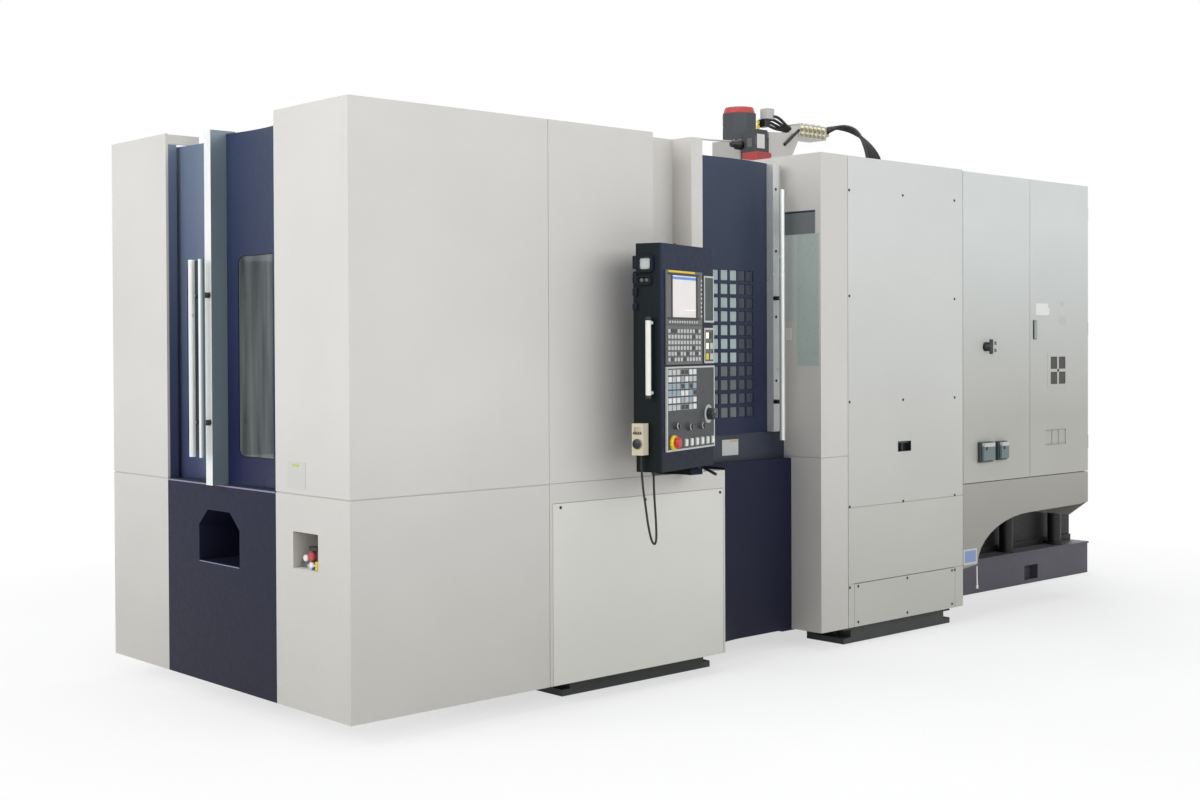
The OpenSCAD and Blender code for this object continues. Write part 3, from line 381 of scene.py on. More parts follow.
# Mesh helpers
def finish_mesh(name, bm, mat, body, smooth=False):
    """The mesh as an object of one material that rides on the body."""
    me = bpy.data.meshes.new(name)
    bmesh.ops.recalc_face_normals(bm, faces=bm.faces)
    bm.to_mesh(me)
    bm.free()
    if smooth:
        for face in me.polygons:
            face.use_smooth = True
    me.materials.append(M[mat])
    o = bpy.data.objects.new(name, me)
    bpy.context.scene.collection.objects.link(o)
    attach(o, body)
    return o


# Bevel of a block: the most that it takes of the thinnest side, and the least that is worth cutting
BEVEL_SHARE, BEVEL_LEAST = 0.45, 0.05
# Radius in millimetres below which the end of a turned form is a point and needs no face
POINT = 0.01


def blocks(name, items, place, mat, body, bevel=1.0, seg=2):
    """Bevelled blocks given as low and high corners in millimetres of the place function."""
    bm = bmesh.new()
    for a, b in items:
        r = min(bevel, BEVEL_SHARE * min(b[i] - a[i] for i in range(3)))
        part = bmesh.new()
        bmesh.ops.create_cube(part, size=1.0)
        for v in part.verts:
            v.co = Vector([a[i] + (v.co[i] + 0.5) * (b[i] - a[i]) for i in range(3)])
        if r > BEVEL_LEAST:
            bmesh.ops.bevel(part, geom=list(part.edges), offset=r, segments=seg, profile=0.6,
                            affect="EDGES")
        for v in part.verts:
            v.co = place(*v.co)
        tmp = bpy.data.meshes.new("tmp")
        part.to_mesh(tmp)
        part.free()
        bm.from_mesh(tmp)
        bpy.data.meshes.remove(tmp)
    return finish_mesh(name, bm, mat, body)


def turned(name, rings, place, mat, body, axis="y", n=40, items=((0, 0),)):
    """Turned form: rings of (distance along the axis, radius), repeated at each item (two coordinates)."""
    bm = bmesh.new()
    for c in items:
        loops = []
        for d, r in rings:
            loop = []
            for k in range(n):
                a, b = r * math.cos(2 * math.pi * k / n), r * math.sin(2 * math.pi * k / n)
                q = {"y": (c[0] + a, d, c[1] + b), "x": (d, c[0] + a, c[1] + b),
                     "z": (c[0] + a, c[1] + b, d)}[axis]
                loop.append(bm.verts.new(place(*q)))
            loops.append(loop)
        for p, q in zip(loops, loops[1:]):
            for k in range(n):
                bm.faces.new((p[k], p[(k + 1) % n], q[(k + 1) % n], q[k]))
        if rings[0][1] > POINT:
            bm.faces.new(loops[0])
        if rings[-1][1] > POINT:
            bm.faces.new(loops[-1])
    bmesh.ops.remove_doubles(bm, verts=bm.verts, dist=1e-6)
    return finish_mesh(name, bm, mat, body, True)


def ring(name, outline, inner, place, d0, d1, mat, body, axis="x"):
    """Flat frame between two closed outlines of equal length, given as pairs, from depth d0 to d1."""
    bm = bmesh.new()
    n = len(outline)

    def put(p, d):
        """Point p of an outline at depth d."""
        return bm.verts.new(place(d, p[0], p[1]) if axis == "x" else place(p[0], d, p[1]))

    edges = ((d0, outline), (d0, inner), (d1, inner), (d1, outline))
    rows = [[put(p, d) for p in line] for d, line in edges]
    for i in range(4):
        a, b = rows[i], rows[(i + 1) % 4]
        for k in range(n):
            bm.faces.new((a[k], a[(k + 1) % n], b[(k + 1) % n], b[k]))
    return finish_mesh(name, bm, mat, body)


def rounded(a0, a1, b0, b1, r, n=6):
    """Outline of a rectangle with corners of radius r, n steps to a corner."""
    pts = []
    corners = ((a1 - r, b1 - r, 0), (a0 + r, b1 - r, 90), (a0 + r, b0 + r, 180), (a1 - r, b0 + r, 270))
    for cx, cy, start in corners:
        for k in range(n + 1):
            turn = math.radians(start + 90 * k / n)
            pts.append((cx + r * math.cos(turn), cy + r * math.sin(turn)))
    return pts


def pipe(name, pts, radius, mat, body):
    """Smooth round rod or hose through the points, its radius in millimetres."""
    cu = bpy.data.curves.new(name, "CURVE")
    cu.dimensions = "3D"
    cu.bevel_depth = radius / 1000
    cu.bevel_resolution = 3
    cu.use_fill_caps = True
    sp = cu.splines.new("NURBS")
    sp.points.add(len(pts) - 1)
    for q, p in zip(sp.points, pts):
        q.co = (*p, 1)
    sp.use_endpoint_u = True
    sp.order_u = 4
    cu.resolution_u = 10
    cu.materials.append(M[mat])
    o = bpy.data.objects.new(name, cu)
    bpy.context.scene.collection.objects.link(o)
    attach(o, body)
    return o


# How far a key's cap stays inside the key's edge, and how far it stands out from the key's face
KEY_EDGE, KEY_CAP = 1.4, 1.0


def caps(name, start, count, pitch, size, face, mat, pick=lambda i, j: True):
    """Caps on the panel's keys: lowest left key, keys across and up, their pitch, size and face."""
    items = []
    for i in range(count[0]):
        for j in range(count[1]):
            if pick(i, j):
                u, z = start[0] + i * pitch[0], start[1] + j * pitch[1]
                items.append(((u + KEY_EDGE, -face - KEY_CAP, z + KEY_EDGE),
                              (u + size[0] - KEY_EDGE, -face + 0.2, z + size[1] - KEY_EDGE)))
    return blocks(name, items, P, mat, PB, 0.8)


# Faces of the front doors: place along the machine and the two sides across it; then how hollow they are
LEAVES = {"near": (14, 489, 964), "far": (66, 1076, 1551)}
HOLLOW = 25


def curved_pane(name, leaf, y_low, y_high, z0, z1, mat, body, inset=3.5, thick=5.0, n=14):
    """Thin pane that follows the hollow face of a front door, a little behind it."""
    bm = bmesh.new()
    x, leaf0, leaf1 = LEAVES[leaf]

    def face(y):
        """Place of the pane's face along the machine."""
        return x + HOLLOW * (1 - (2 * (y - leaf0) / (leaf1 - leaf0) - 1) ** 2) + inset

    across = [y_low + (y_high - y_low) * k / n for k in range(n + 1)]
    rows = [[bm.verts.new(S(face(y) + d, y, z)) for y in across] for d in (0, thick) for z in (z0, z1)]
    f0, f1, b0, b1 = rows
    for k in range(n):
        for p, q in ((f0, f1), (b1, b0), (f1, b1), (b0, f0)):
            bm.faces.new((p[k], p[k + 1], q[k + 1], q[k]))
    bm.faces.new((f0[0], f1[0], b1[0], b0[0]))
    bm.faces.new((f0[n], b0[n], b1[n], f1[n]))
    sharp = [e for e in bm.edges if e.calc_face_angle(0) > 1.2]
    bmesh.ops.bevel(bm, geom=sharp, offset=0.001, segments=2, affect="EDGES")
    return finish_mesh(name, bm, mat, body)


# Handwheel cable: its way in the panel's millimetres
WAY = [(-30, 83, 1100), (-33, 80, 1040), (-35, 72, 960), (-35, 60, 880), (-31, 50, 800), (-16, 42, 735),
       (6, 38, 713), (27, 40, 735), (41, 48, 800), (46, 56, 880), (47, 61, 960), (47, 62, 1024)]


def smooth_way(way, n):
    """Points on one smooth curve through all points of the way, n to each stretch."""
    out = []
    last = len(way) - 1
    at = [Vector(way[max(0, min(last, i))]) for i in range(-1, last + 2)]
    for a, b, c, d in zip(at, at[1:], at[2:], at[3:]):
        for k in range(n):
            f = k / n
            out.append(0.5 * (2 * b + (c - a) * f + (2 * a - 5 * b + 4 * c - d) * f * f
                              + (3 * b - a - 3 * c + d) * f ** 3))
    return out + [Vector(way[last])]


route = [P(*p) for p in smooth_way(WAY, 4)]
cu = bpy.data.curves.new("handwheel_lead", "CURVE")
cu.dimensions = "3D"
cu.bevel_depth = 0.005
cu.bevel_resolution = 4
sp = cu.splines.new("POLY")
sp.points.add(len(route) - 1)
for q, p in zip(sp.points, route):
    q.co = (*p, 1)
cu.materials.append(M["rubber"])
lead = bpy.data.objects.new("handwheel_lead", cu)
bpy.context.scene.collection.objects.link(lead)
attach(lead, PB)
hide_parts("handwheel_cable")

# Operator panel
# Screen and keys
blocks("screen_bezel", [((52, -8.6, 1690), (380, -6.0, 1698)), ((52, -8.6, 1885), (380, -6.0, 1893)),
                        ((92, -8.6, 1698), (100, -6.0, 1885)), ((348, -8.6, 1698), (356, -6.0, 1885))], P,
       "black", PB, 1.2)
blocks("yellow_strip", [((62, -7.2, 1895), (330, -5.9, 1904))], P, "yellow", PB, 0.5)
blocks("screen_glass", [((101.5, -4.2, 1699.5), (346.5, -3.0, 1883.5))], P, "screen", PB, 0.4)
blocks("screen_band", [((103, -4.8, 1866), (345, -4.1, 1878))], P, "screenblue", PB, 0.2)
blocks("screen_bars", [((104, -4.7, 1879), (150, -4.1, 1882)), ((230, -4.7, 1730), (343, -4.1, 1735))], P,
       "lit", PB, 0.2)
caps("soft_key_row", (62, 1672), (12, 1), (25, 20), (19, 13), 8, "pale")
caps("soft_key_column", (386, 1700), (1, 9), (20, 20), (16, 14), 8, "pale")
DARK_KEYS = {(1, 5), (2, 5), (9, 5), (1, 0), (5, 0), (3, 1), (8, 2), (8, 4), (6, 1), (9, 1)}
LETTER_KEYS = (52, 1504), (11, 6), (31, 25), (25, 19), 8
caps("letter_keys", *LETTER_KEYS, "pale", lambda i, j: (i, j) not in DARK_KEYS)
caps("letter_keys_dark", *LETTER_KEYS, "keydark", lambda i, j: (i, j) in DARK_KEYS)
blocks("blank_panel", [((438, -5.8, 1688), (526, -4.9, 1884))], P, "blank", PB, 0.6)
ring("blank_frame", rounded(428.5, 534.5, 1679.5, 1891.5, 2, 2), rounded(438, 526, 1688, 1884, 2, 2), P,
     -6.8, -4.9, "pale", PB, "y")
ring("lamp_frame", rounded(428.5, 534.5, 1493.5, 1654.5, 2, 2), rounded(438, 526, 1502, 1646, 2, 2), P,
     -7.2, -5.9, "pale", PB, "y")
LAMP_ROWS = [["yellow", "pale"], ["lit", "pale"], ["lit", "keydark"]]
for j, row in enumerate(LAMP_ROWS):
    for i, mat in enumerate(row):
        u, z = 444 + i * 45, 1510 + j * 48
        blocks("lamp_button_%d%d" % (j, i), [((u, -9, z), (u + 30, -6.8, z + 28))], P, mat, PB, 1.6)
blocks("operation_field", [((50, -6.7, 1118), (530, -5.9, 1474))], P, "keydark", PB, 0.5)
blocks("operation_frame", [((39.5, -7.6, 1110.5), (539.5, -6, 1118)),
                           ((39.5, -7.6, 1474), (539.5, -6, 1481.5)),
                           ((39.5, -7.6, 1118), (50, -6, 1474)), ((530, -7.6, 1118), (539.5, -6, 1474))],
       P, "pale", PB, 0.7)
KEY_TONES = ["pwbbwp", "pwbbpp", "pwbbwp", "kbwkbk", "kpwbwk", "pbbkpw", "wwkbpw"]
KEY_KINDS = [("p", "pale", "pale"), ("w", "white", "white"), ("b", "blue", "keyblue"),
             ("k", "dark", "black")]
for letter, label, mat in KEY_KINDS:
    caps("operation_keys_" + label, (52, 1290), (7, 6), (42, 31), (34, 24), 9, mat,
         lambda i, j: KEY_TONES[i][j] == letter)
# Selectors and rockers
SELECTORS = [(126, 1222), (258, 1212), (384, 1213)]
turned("selector_knobs", [(-24.4, 0), (-24.4, 9), (-23, 12), (-20, 14.6), (-9, 15.2), (-7, 19),
                          (-6.2, 19.5)], P, "black", PB, items=SELECTORS)
blocks("selector_bars", [((u - 3, -29, z - 13), (u + 3, -24, z + 13)) for u, z in SELECTORS], P, "black",
       PB, 1.5)
blocks("rocker_caps", [((219 + i * 56, -15, 1129), (241 + i * 56, -11.5, 1157)) for i in range(6)], P,
       "white", PB, 1.5)
# Stop and override knob
STOP_AT, DIAL_AT = (100, 1150), (470, 1262)
turned("stop_ring", [(-22.4, 13), (-22.4, 26), (-21, 30), (-12, 32), (-6.1, 33)], P, "yellow", PB,
       items=[STOP_AT])
turned("override_scale", [(-8.5, 26.5), (-8.5, 41), (-7.8, 42.2)], P, "pale", PB, items=[DIAL_AT])
TICK_RADIUS = 34
TURNS = [math.radians(-45 + 15 * k) for k in range(19)]
TICKS = [(DIAL_AT[0] + TICK_RADIUS * math.cos(a), DIAL_AT[1] + TICK_RADIUS * math.sin(a)) for a in TURNS]
blocks("override_ticks", [((u - 0.8, -9.1, z - 2.2), (u + 0.8, -8.4, z + 2.2)) for u, z in TICKS], P,
       "black", PB, 0.1)
turned("override_grip", [(-40, 0), (-40, 19), (-38, 22), (-34.2, 24), (-30, 26.6), (-12, 27.4),
                         (-9, 27.4)], P, "black", "override_knob", n=48, items=[DIAL_AT])
blocks("override_mark", [((468.8, -40.6, 1268), (471.2, -39.8, 1281))], P, "white", "override_knob", 0.2)
STOP_CAP = [(-42.4, 0), (-42.4, 9), (-41.2, 16), (-38.4, 22), (-34, 26), (-31, 26.6), (-29.6, 25),
            (-29, 13)]
turned("stop_cap", STOP_CAP, P, "red", "emergency_stop", n=48, items=[STOP_AT])
# Hangers, lever and eye
ring("hanger_ring", rounded(34, 112, 1893, 1968, 14), rounded(46, 100, 1906, 1956, 10), P, -15, 0.5,
     "dark", PB)
blocks("hanger_pad", [((-5, 46, 1906), (0.5, 100, 1956))], P, "pale", PB, 2)
ring("hanger_ring_low", rounded(44, 112, 1838, 1880, 10), rounded(52, 104, 1847, 1871, 7), P, -13, 0.5,
     "dark", PB)
turned("hanger_holes", [(-7, 0), (-7, 9), (-3, 10.5), (0.4, 10.5)], P, "grey", PB, axis="x",
       items=[(66, 1859), (92, 1859)])
LUGS = [(1908, 58), (1846, 44), (1790, 38), (1730, 30)]
blocks("hanger_lugs", [((-16, 112, z), (0.5, 132, z + h)) for z, h in LUGS], P, "dark", PB, 6, 3)
pipe("panel_clamp_lever", [P(512, 62, 1023), P(508, 40, 1013), P(498, 8, 1000), P(486, -22, 990),
                           P(478, -40, 984)], 7, "black", PB)
turned("panel_clamp_boss", [(1006, 9), (1009, 13), (1024, 13)], P, "black", PB, axis="z", items=[(512, 62)])
pipe("panel_eye", [P(250, 60, 2018), P(250, 60, 2027), P(262, 60, 2034), P(274, 60, 2027),
                   P(274, 60, 2018)], 3, "black", PB)
# Grip, handwheel unit and underside
GRIP_AT = (-34, 45)
turned("grip_collars", [(1344, 12.6), (1344, 13), (1352, 13.4), (1360, 12.6)], P, "black", PB, "z",
       items=[GRIP_AT])
turned("grip_collars_top", [(1684, 12.6), (1692, 13.4), (1700, 13), (1700.2, 0)], P, "black", PB, "z",
       items=[GRIP_AT])
turned("handwheel_dial", [(-70, 0), (-70, 17), (-68, 20), (-66.2, 21.5), (-61, 22.6)], P, "black", PB,
       axis="x", items=[(86, 1150)])
blocks("handwheel_keys", [((-61.8, 66 + 11 * i, 1192), (-60, 74 + 11 * i, 1202)) for i in range(4)], P,
       "keydark", PB, 0.8)
blocks("panel_feet", [((60, 20, 1021), (110, 100, 1024.5)), ((440, 10, 1021), (455, 110, 1024.5))], P,
       "black", PB, 1.0)
turned("lead_gland", [(1010, 6), (1012, 9), (1022, 10), (1024.2, 10)], P, "black", PB, axis="z",
       items=[(47, 62)])

# Operator side
for i, z in enumerate((1282, 1816)):
    turned("pull_sleeve_%d" % i, [(184, 8.5), (185, 10), (206, 11), (221.6, 11.5)], S, "black", OD,
           items=[(2755, z)])
blocks("door_edge_seal", [((2789.6, 240, 1128), (2796, 262, 2515))], S, "rubber", OD, 2.0)
# Face of the operator door: its two ends along the machine, its place across it and how far it bulges
DOOR_X0, DOOR_X1, DOOR_Y, BULGE = 1960, 2747, 267, 39
# Its grid: first opening's corner, pitch and width; then each pane's gap all round, inset and depth
PANE_X, PANE_Z, PITCH, PANE = 2150, 1210, 69, 53
PANE_GAP, PANE_INSET, PANE_DEPTH = 0.5, 3, 7


def door_face(x):
    """Front plane of the bulged operator door at this place along the machine."""
    return DOOR_Y - BULGE * (1 - (2 * (x - DOOR_X0) / (DOOR_X1 - DOOR_X0) - 1) ** 2)


def panes(name, cols, rows, mat):
    """Flat panes in the openings of the operator door's grid, a little behind its bulged face."""
    items = []
    for i in cols:
        x = PANE_X + i * PITCH
        y = max(door_face(x), door_face(x + PANE)) + PANE_INSET
        for j in rows:
            z = PANE_Z + j * PITCH
            items.append(((x + PANE_GAP, y, z + PANE_GAP),
                          (x + PANE - PANE_GAP, y + PANE_DEPTH, z + PANE - PANE_GAP)))
    return blocks(name, items, S, mat, OD, 2.5, 3)


# Painted reflection in the upper panes, painted shade in the lower and the right ones.
panes("panes_upper", range(5), range(4, 11), "panelight")
panes("panes_lower", range(5), range(0, 4), "panegrey")
panes("panes_dark", range(5, 7), range(0, 11), "panedark")
# Door edge, sill and plates on the inner wall
turned("door_edge_screws", [(220.5, 0), (220.5, 6), (221.5, 8), (222.2, 8)], S, "black", OD,
       items=[(2768, z) for z in (1390, 1720, 2060, 2380)])
blocks("sill_plate", [((2385, 248.2, 1018), (2505, 250.3, 1098))], S, "pale", FR, 0.8)
blocks("sill_plate_field", [((2440, 247.6, 1086), (2500, 248.6, 1093))], S, "orangedull", FR, 0.3)
blocks("sill_lip", [((2137.5, 247.5, 1119), (2858, 251, 1127))], S, "sill", FR, 1.2)
blocks("wall_plate_slate", [((2857.6, 36, 2147), (2859.4, 288, 2261))], S, "slate", FR, 0.6)
blocks("wall_plate_edge", [((2857.2, 36, 2257), (2859.4, 290, 2267))], S, "sill", FR, 0.5)
blocks("wall_plate_green", [((2857.4, 11, 1467), (2859.4, 156, 2146))], S, "palegreen", FR, 0.6)
blocks("wall_plate_film", [((2858.2, 150, 1700), (2859.4, 290, 2146))], S, "film", FR, 0.4)
blocks("wall_plate_small", [((2857.4, 195, 1600), (2859.4, 235, 1662))], S, "white", FR, 0.6)
# Pull of the service panel
blocks("pull_lining", [((3502.3, 31, 995.3), (3622.7, 34.7, 1052.7)),
                       ((3502.3, 1, 995.3), (3505, 32, 1052.7)), ((3620, 1, 995.3), (3622.7, 32, 1052.7)),
                       ((3504, 1, 995.3), (3621, 32, 998)), ((3504, 1, 1050), (3621, 32, 1052.7))], S,
       "black", FR, 0.8)
blocks("pull_grip", [((3506, 12, 1040), (3619, 17, 1050)), ((3558, 16, 998), (3566, 31, 1050))], S,
       "keydark", FR, 1.2)
ring("pull_rim", rounded(3497, 3628, 990, 1058, 4), rounded(3503, 3622, 996, 1052, 2), S, -1.2, 0.4,
     "pale", FR, "y")

# Pallet changer end
blocks("front_plate", [((-1.4, 318, 1001), (0.4, 455, 1106))], S, "panel", FR, 0.6)
blocks("front_plate_field", [((-2.0, 365, 1088), (-1.0, 420, 1098))], S, "olive", FR, 0.3)
# The return takes the far door's lighter blue, which is painted light.
blocks("far_cover_return", [((12.2, 1491.4, 979), (55, 1499, 2506))], S, "bluefar", FR, 1.5)
blocks("far_cover_head", [((12.2, 1491.4, 2508), (170, 1503, 2552))], S, "cover", FR, 1.5)
for leaf, y, body in (("near", 588, ND), ("far", 1147, FD)):
    curved_pane("front_pane_" + leaf, leaf, y + 2, y + 303, 1105, 1966, "pane", body)
curved_pane("near_pane_margin", "near", 589.5, 622, 1104.5, 1966.5, "blue", ND, 0.4, 3.0, 4)
for i, z in enumerate((1250, 1800)):
    turned("near_sleeve_%d" % i, [(-84, 9.5), (-82, 12), (-63, 13)], S, "black", ND, axis="x",
           items=[(983, z)])
    turned("far_sleeve_%d" % i, [(-84, 9.5), (-82, 12), (-60, 13), (-10, 13)], S, "black", FD, axis="x",
           items=[(1072, z)])
blocks("leading_seal", [((-40, 1019.4, 980), (40, 1020.6, 2495))], S, "rubber", ND, 0.4)
blocks("far_closing_strip", [((-36, 1021.2, 979), (66.5, 1061, 2496))], S, "strip", FD, 1.5)
# Thin pale line on the apron's top edge: a painted highlight.
blocks("apron_edge_highlight", [((-1.2, 551, 968), (0.6, 1489, 974.5))], S, "edge", FR, 0.6)
# Pocket of the apron
FITTING_AT = (942, 652)
turned("pocket_fitting", [(112, 22), (92, 22), (88, 20), (72, 16), (68, 14), (68, 8), (82, 8)], S,
       "black", FR, axis="x", items=[FITTING_AT])
turned("pocket_fitting_ring", [(67, 8), (67, 12), (69, 13.5)], S, "steel", FR, axis="x", items=[FITTING_AT])
blocks("pocket_fitting_base", [((72, 918, 629.2), (112, 966, 634))], S, "black", FR, 1.5)
# Thin pale line on the pocket's top edge: a painted highlight.
blocks("pocket_edge_highlight", [((-0.9, 852, 624.6), (0.5, 1198, 628.6))], S, "edge", FR, 0.5)
# Air regulator
# White plate on the pocket's floor, partly its own pale colour and partly painted light against the shade in
# the pocket.
blocks("pocket_floor_plate", [((2, 233, 671.3), (156, 412, 673.3))], S, "white", FR, 0.6)
blocks("regulator_body", [((34, 300, 673.5), (84, 366, 702)), ((46, 312, 702), (74, 346, 722))], S, "alu",
       FR, 4, 3)
blocks("regulator_block", [((36, 368, 673.5), (70, 408, 694)), ((30, 352, 690), (52, 372, 704))], S,
       "grey", FR, 4, 3)
turned("regulator_dial", [(24, 0), (24, 16), (27, 20), (46, 22), (52, 18)], S, "capred", FR, axis="x",
       items=[(326, 724)])
blocks("regulator_handle", [((28, 284, 748), (62, 344, 764)), ((30, 278, 706), (50, 290, 758)),
                            ((30, 298, 698), (58, 322, 706))], S, "black", FR, 4, 3)
turned("regulator_unions", [(671.4, 12), (680, 12), (682, 9), (694, 9), (696, 11), (706, 11), (708, 7)],
       S, "yellow", FR, axis="z", items=[(34, 284), (44, 290)])
turned("regulator_plug", [(18, 0), (18, 11), (21, 14), (36, 14)], S, "white", FR, axis="x",
       items=[(312, 688), (358, 716)])
turned("regulator_tube_end", [(671.4, 7), (682, 7), (684, 4)], S, "blue_bit", FR, axis="z",
       items=[(22, 300)])
turned("regulator_cup", [(700, 18.4), (702, 20), (740, 20), (756, 14), (764, 13), (766, 0)], S, "red", FR,
       axis="z", items=[(110, 275)])
turned("regulator_knob", [(745, 14.2), (748, 17), (762, 17), (766, 13), (766, 0)], S, "black", FR,
       axis="z", items=[(110, 310)])
turned("regulator_elbow", [(60, 12.4), (56, 9), (40, 9), (38, 7), (38, 0)], S, "yellow", FR, axis="x",
       items=[(290, 685)])
pipe("regulator_hose", [S(40, 290, 685), S(24, 300, 690), S(20, 330, 684), S(40, 352, 676),
                        S(90, 360, 676), S(150, 366, 690)], 5, "alu", FR)

# Cabinet
turned("switch_knob", [(-40, 0), (-40, 13), (-37, 16), (-14, 18), (-12, 24)], S, "black", "main_switch",
       items=[(4330, 1560)])
blocks("switch_bar", [((4372, -9, 1518), (4398, -0.4, 1602))], S, "black", LD, 2.0)
blocks("switch_label", [((4402, -1.6, 1514), (4452, 0.2, 1602))], S, "pale", LD, 0.5)
blocks("switch_label_fields", [((4418, -2.2, z), (4442, -1.4, z + 20)) for z in (1528, 1570)], S, "grey",
       LD, 0.3)
# Each socket's two sides, foot and top
SOCKETS = ((4249, 4375, 900, 1013), (4427, 4516, 905, 1011))
blocks("socket_bodies", [((x0 - 2, -26, z0 - 2), (x1 + 2, -1, z1 + 2)) for x0, x1, z0, z1 in SOCKETS], S,
       "socketdark", LD, 6, 3)
blocks("socket_faces", [((x0 + 7, -44, z0 + 8), (x1 - 6, -25, z1 - 22)) for x0, x1, z0, z1 in SOCKETS], S,
       "socket", LD, 7, 3)
blocks("socket_tops", [((x0 + 12, -47, z1 - 26), (x1 - 12, -20, z1 - 4)) for x0, x1, z0, z1 in SOCKETS],
       S, "pale", LD, 4, 3)
blocks("socket_catches", [((x0 + 24, -50, z1 - 44), (x0 + 34, -43, z1 - 24))
                          for x0, x1, z0, z1 in SOCKETS], S, "socketdark", LD, 2)
# Plates, vent and slots of the doors
blocks("door_plate", [((4859, -1.6, 1747), (4990, 0.2, 1817))], S, "white", RD, 0.6)
blocks("latch_face", [((4829, -9.6, 1606), (4857, -7.6, 1714))], S, "latchgreen", "cabinet_latch", 1.0)
blocks("door_plate_small", [((4972, -2.2, 1750), (5004, 0.2, 1790))], S, "white", RD, 0.5)
blocks("door_mark", [((5124, -1.2, 1690), (5196, 0.2, 1740)), ((5136, -1.2, 1800), (5168, 0.2, 1834))], S,
       "pale", RD, 0.5)
ring("vent_frame", rounded(4986, 5218, 1306, 1522, 8), rounded(5019, 5185, 1331, 1497, 4), S, -1.6, 0.3,
     "cabinet", RD, "y")
blocks("vent_cross", [((5093, -1.5, 1330), (5111, 0.3, 1498)), ((5018, -1.5, 1405), (5186, 0.3, 1423))],
       S, "cabinet", RD, 1.0)
# Lower left corners of the vent's four grilles
VENTS = [(x, z) for x in (5020, 5110) for z in (1332, 1422)]
blocks("vent_grilles", [((x, 1.0, z), (x + 74, 5.8, z + 74)) for x, z in VENTS], S, "vent", RD, 1.0)
RIBS = [(x, z + 9 * k) for x, z in VENTS for k in range(8)]
blocks("vent_ribs", [((x + 1, -0.6, z + 5), (x + 73, 1.4, z + 9)) for x, z in RIBS], S, "keydark", RD, 0.5)
SLOT_ENDS = [(x, z) for z in (963, 1053) for x in (4970, 5046, 5122)]
blocks("slot_frames", [((x, -1.8, z), (x + 72, 0.2, z + 4)) for x, z in SLOT_ENDS], S, "slotgrey", RD, 0.5)
# Skirt
blocks("skirt_plate_frame", [((4112, -1.2, 322), (4244, 0.2, 410))], S, "pale", FR, 0.5)
blocks("skirt_plate", [((4124, -2.2, 334), (4232, -0.8, 400))], S, "ltblue", FR, 0.5)
pipe("skirt_rod", [S(4253, 6, 304), S(4253, 6, 270), S(4253, 5, 230), S(4253, 4, 188)], 4, "white", FR)
turned("skirt_rod_weight", [(176, 0), (176, 5), (180, 7), (192, 7), (196, 4)], S, "white", FR, axis="z",
       items=[(4253, 4)])

# Gear on the column
turned("motor_cap_skirt", [(2910.4, 84), (2910.4, 93), (2913, 93), (2942, 84), (2944, 82.7)], S, "capred",
       CB, axis="z", n=48, items=[(3364, 1020)])
blocks("valve_box", [((3212.6, 768.6, 2660.4), (3327.4, 845.4, 2791.2))], S, "valvedark", CB, 3, 3)
blocks("valve_label", [((3236, 767.2, 2684), (3300, 769.2, 2764))], S, "white", CB, 0.4)
blocks("valve_marks", [((3220, 767.6, 2700), (3229, 769.2, 2750)),
                       ((3211.6, 786, 2690), (3213.2, 822, 2740))], S, "grey", CB, 0.4)
blocks("valve_foot", [((3206, 746, 2601), (3334, 854, 2661))], S, "capred", CB, 3, 3)
turned("valve_knob", [(3326, 14), (3330, 20), (3344, 20), (3348, 16), (3348, 0)], S, "black", CB,
       axis="x", items=[(800, 2742)])
blocks("motor_fields", [((3408, 923.8, 2806), (3434, 925.4, 2846)),
                        ((3410, 923.8, 2852), (3432, 925.4, 2872))], S, "yellow", CB, 0.4)
blocks("motor_connector", [((3450, 878, 2882), (3512, 936, 2943))], S, "pale", CB, 5, 3)
blocks("motor_connector_foot", [((3456, 900, 2838), (3500, 960, 2884))], S, "black", CB, 5, 3)
# Leads, hoses and rod
for i, (x, y, z) in enumerate(((3500, 884, 2896), (3500, 904, 2880), (3496, 926, 2866), (3480, 930, 2850))):
    pipe("motor_lead_%d" % i, [S(x, y, z), S(x + 26, y - 4, z + 6), S(x + 66, y - 16, z - 14 - 3 * i),
                               S(3590, 846 + 9 * i, 2838 - 4 * i), S(3612, 836 + 10 * i, 2830 - 6 * i)],
         8.5, "rubber", CB)
pipe("bracket_lead", [S(3604, 774, 2816), S(3585, 768, 2806), S(3548, 768, 2780), S(3500, 772, 2738),
                      S(3478, 776, 2722)], 9, "rubber", CB)
turned("hose_fittings", [(756, 0), (756, 9), (760, 12), (768, 12), (770, 16), (775.4, 16)], S, "brass", CB,
       items=[(3632 + 38 * i, z) for i in range(6) for z in (2798, 2832)])
turned("hose_sleeves", [(3852, 13), (3858, 15), (3884, 15), (3888, 12)], S, "brass", CB, axis="x", n=20,
       items=[(792 + 24 * i, 2815) for i in range(5)])
blocks("hose_block_cap", [((3604, 773, 2850), (3857, 907, 2856))], S, "alu", CB, 2)
blocks("hose_block_plugs", [((3640 + 52 * i, 790, 2855), (3664 + 52 * i, 812, 2866)) for i in range(4)],
       S, "brass", CB, 3)
pipe("gear_rod", [S(2905, 884, 2716), S(3000, 884, 2719), S(3080, 884, 2722), S(3172, 884, 2724)], 5,
     "alu", CB)
turned("gear_rod_body", [(3150, 0), (3150, 16), (3154, 20), (3190, 20), (3194, 30), (3228, 30),
                         (3232, 24), (3246, 24), (3250, 0)], S, "black", CB, axis="x",
       items=[(884, 2712)])


# Stage
def plane(name, pts, mat):
    """Flat surface of the stage through four points."""
    me = bpy.data.meshes.new(name)
    me.from_pydata(pts, [], [(0, 1, 2, 3)])
    me.materials.append(mat)
    o = bpy.data.objects.new(name, me)
    bpy.context.scene.collection.objects.link(o)


# White in the floor's look: its share near the object, and the metres between which it grows to all of it
SHADOW_SHARE, SHADOW_NEAR, SHADOW_FAR = 0.60, 2.4, 5.2


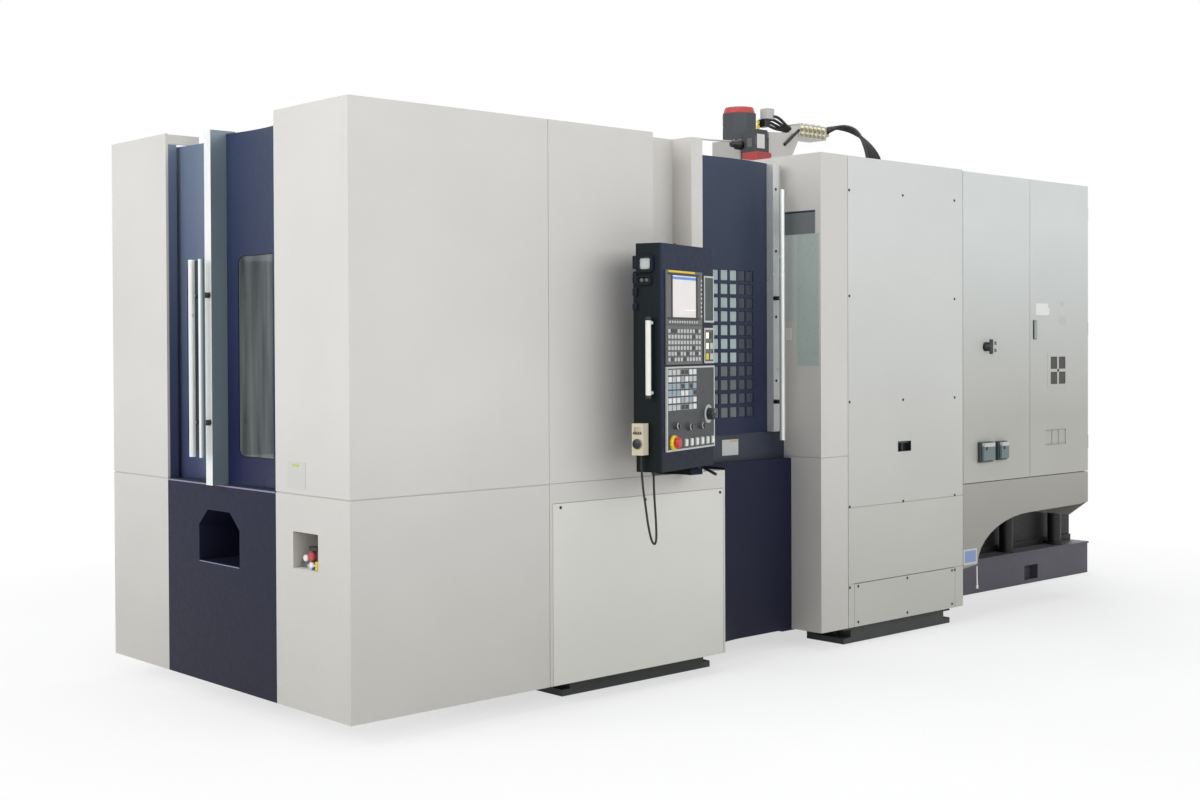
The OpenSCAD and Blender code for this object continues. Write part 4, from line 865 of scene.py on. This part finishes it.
def _blend(nt, fac, first, second):
    """Shader between two shaders."""
    mix = nt.nodes.new("ShaderNodeMixShader")
    for i, socket in enumerate((fac, first, second)):
        nt.links.new(socket, mix.inputs[i])
    return mix.outputs[0]


def seen_directly(nt):
    """1 for rays from the camera and for their mirror images and views through glass, else 0."""
    lp = nt.nodes.new("ShaderNodeLightPath")
    last = lp.outputs["Is Camera Ray"]
    for ray in ("Is Glossy Ray", "Is Transmission Ray"):
        top = nt.nodes.new("ShaderNodeMath")
        top.operation = "MAXIMUM"
        nt.links.new(last, top.inputs[0])
        nt.links.new(lp.outputs[ray], top.inputs[1])
        last = top.outputs[0]
    return last


def floor_material():
    """Pale floor; rays that see it directly find it partly white near the object and all white far out."""
    m, nt, b = _new("pale_floor")
    cloud = _noise(nt, _coord(nt, (1, 1, 1)), 0.7)
    pale = _mix(nt, _range(nt, cloud, 0, 1), lin(242, 242, 242), lin(249, 249, 248))
    nt.links.new(pale, b.inputs["Base Color"])
    b.inputs["Roughness"].default_value = 0.9
    white = nt.nodes.new("ShaderNodeEmission")
    white.inputs["Strength"].default_value = 1.0
    far = nt.nodes.new("ShaderNodeVectorMath")
    far.operation = "LENGTH"
    nt.links.new(nt.nodes.new("ShaderNodeTexCoord").outputs["Object"], far.inputs[0])
    share = _range(nt, far.outputs["Value"], SHADOW_SHARE, 1.0, SHADOW_NEAR, SHADOW_FAR)
    shown = _blend(nt, share, b.outputs[0], white.outputs[0])
    both = _blend(nt, seen_directly(nt), b.outputs[0], shown)
    nt.links.new(both, nt.nodes["Material Output"].inputs["Surface"])
    return m


def studio_world():
    """Soft cool light from all round, and plain white for rays that see the background directly."""
    w = bpy.data.worlds.new("studio")
    bpy.context.scene.world = w
    w.use_nodes = True
    nt = w.node_tree
    soft = nt.nodes["Background"]
    soft.inputs["Color"].default_value = (0.86, 0.90, 1.0, 1)
    soft.inputs["Strength"].default_value = 0.36
    white = nt.nodes.new("ShaderNodeBackground")
    white.inputs["Color"].default_value = (1, 1, 1, 1)
    white.inputs["Strength"].default_value = 1.0
    both = _blend(nt, seen_directly(nt), soft.outputs[0], white.outputs[0])
    nt.links.new(both, nt.nodes["World Output"].inputs["Surface"])


def area(name, loc, target, size, power):
    """Soft rectangular lamp at loc, turned to its target."""
    d = bpy.data.lights.new(name, "AREA")
    d.shape = "RECTANGLE"
    d.size, d.size_y = size
    d.energy = power
    o = bpy.data.objects.new(name, d)
    bpy.context.scene.collection.objects.link(o)
    o.location = loc
    o.rotation_euler = (Vector(target) - Vector(loc)).to_track_quat("-Z", "Y").to_euler()


plane("floor", [(-40, -40, 0), (40, -40, 0), (40, 40, 0), (-40, 40, 0)], floor_material())
studio_world()
area("key", (-11.0, -0.5, 5.5), (-3.2, 0.2, 1.3), (9, 5), 565)
area("side", (-0.6, -10.5, 5.0), (0.3, -1.0, 1.3), (13, 5), 490)
area("top", (0, 0, 8.0), (0, 0, 0), (8, 5), 260)
area("rear", (7.5, 6.0, 5.0), (1, 0, 1.3), (5, 4), 260)

bpy.context.scene.view_settings.view_transform = "Standard"
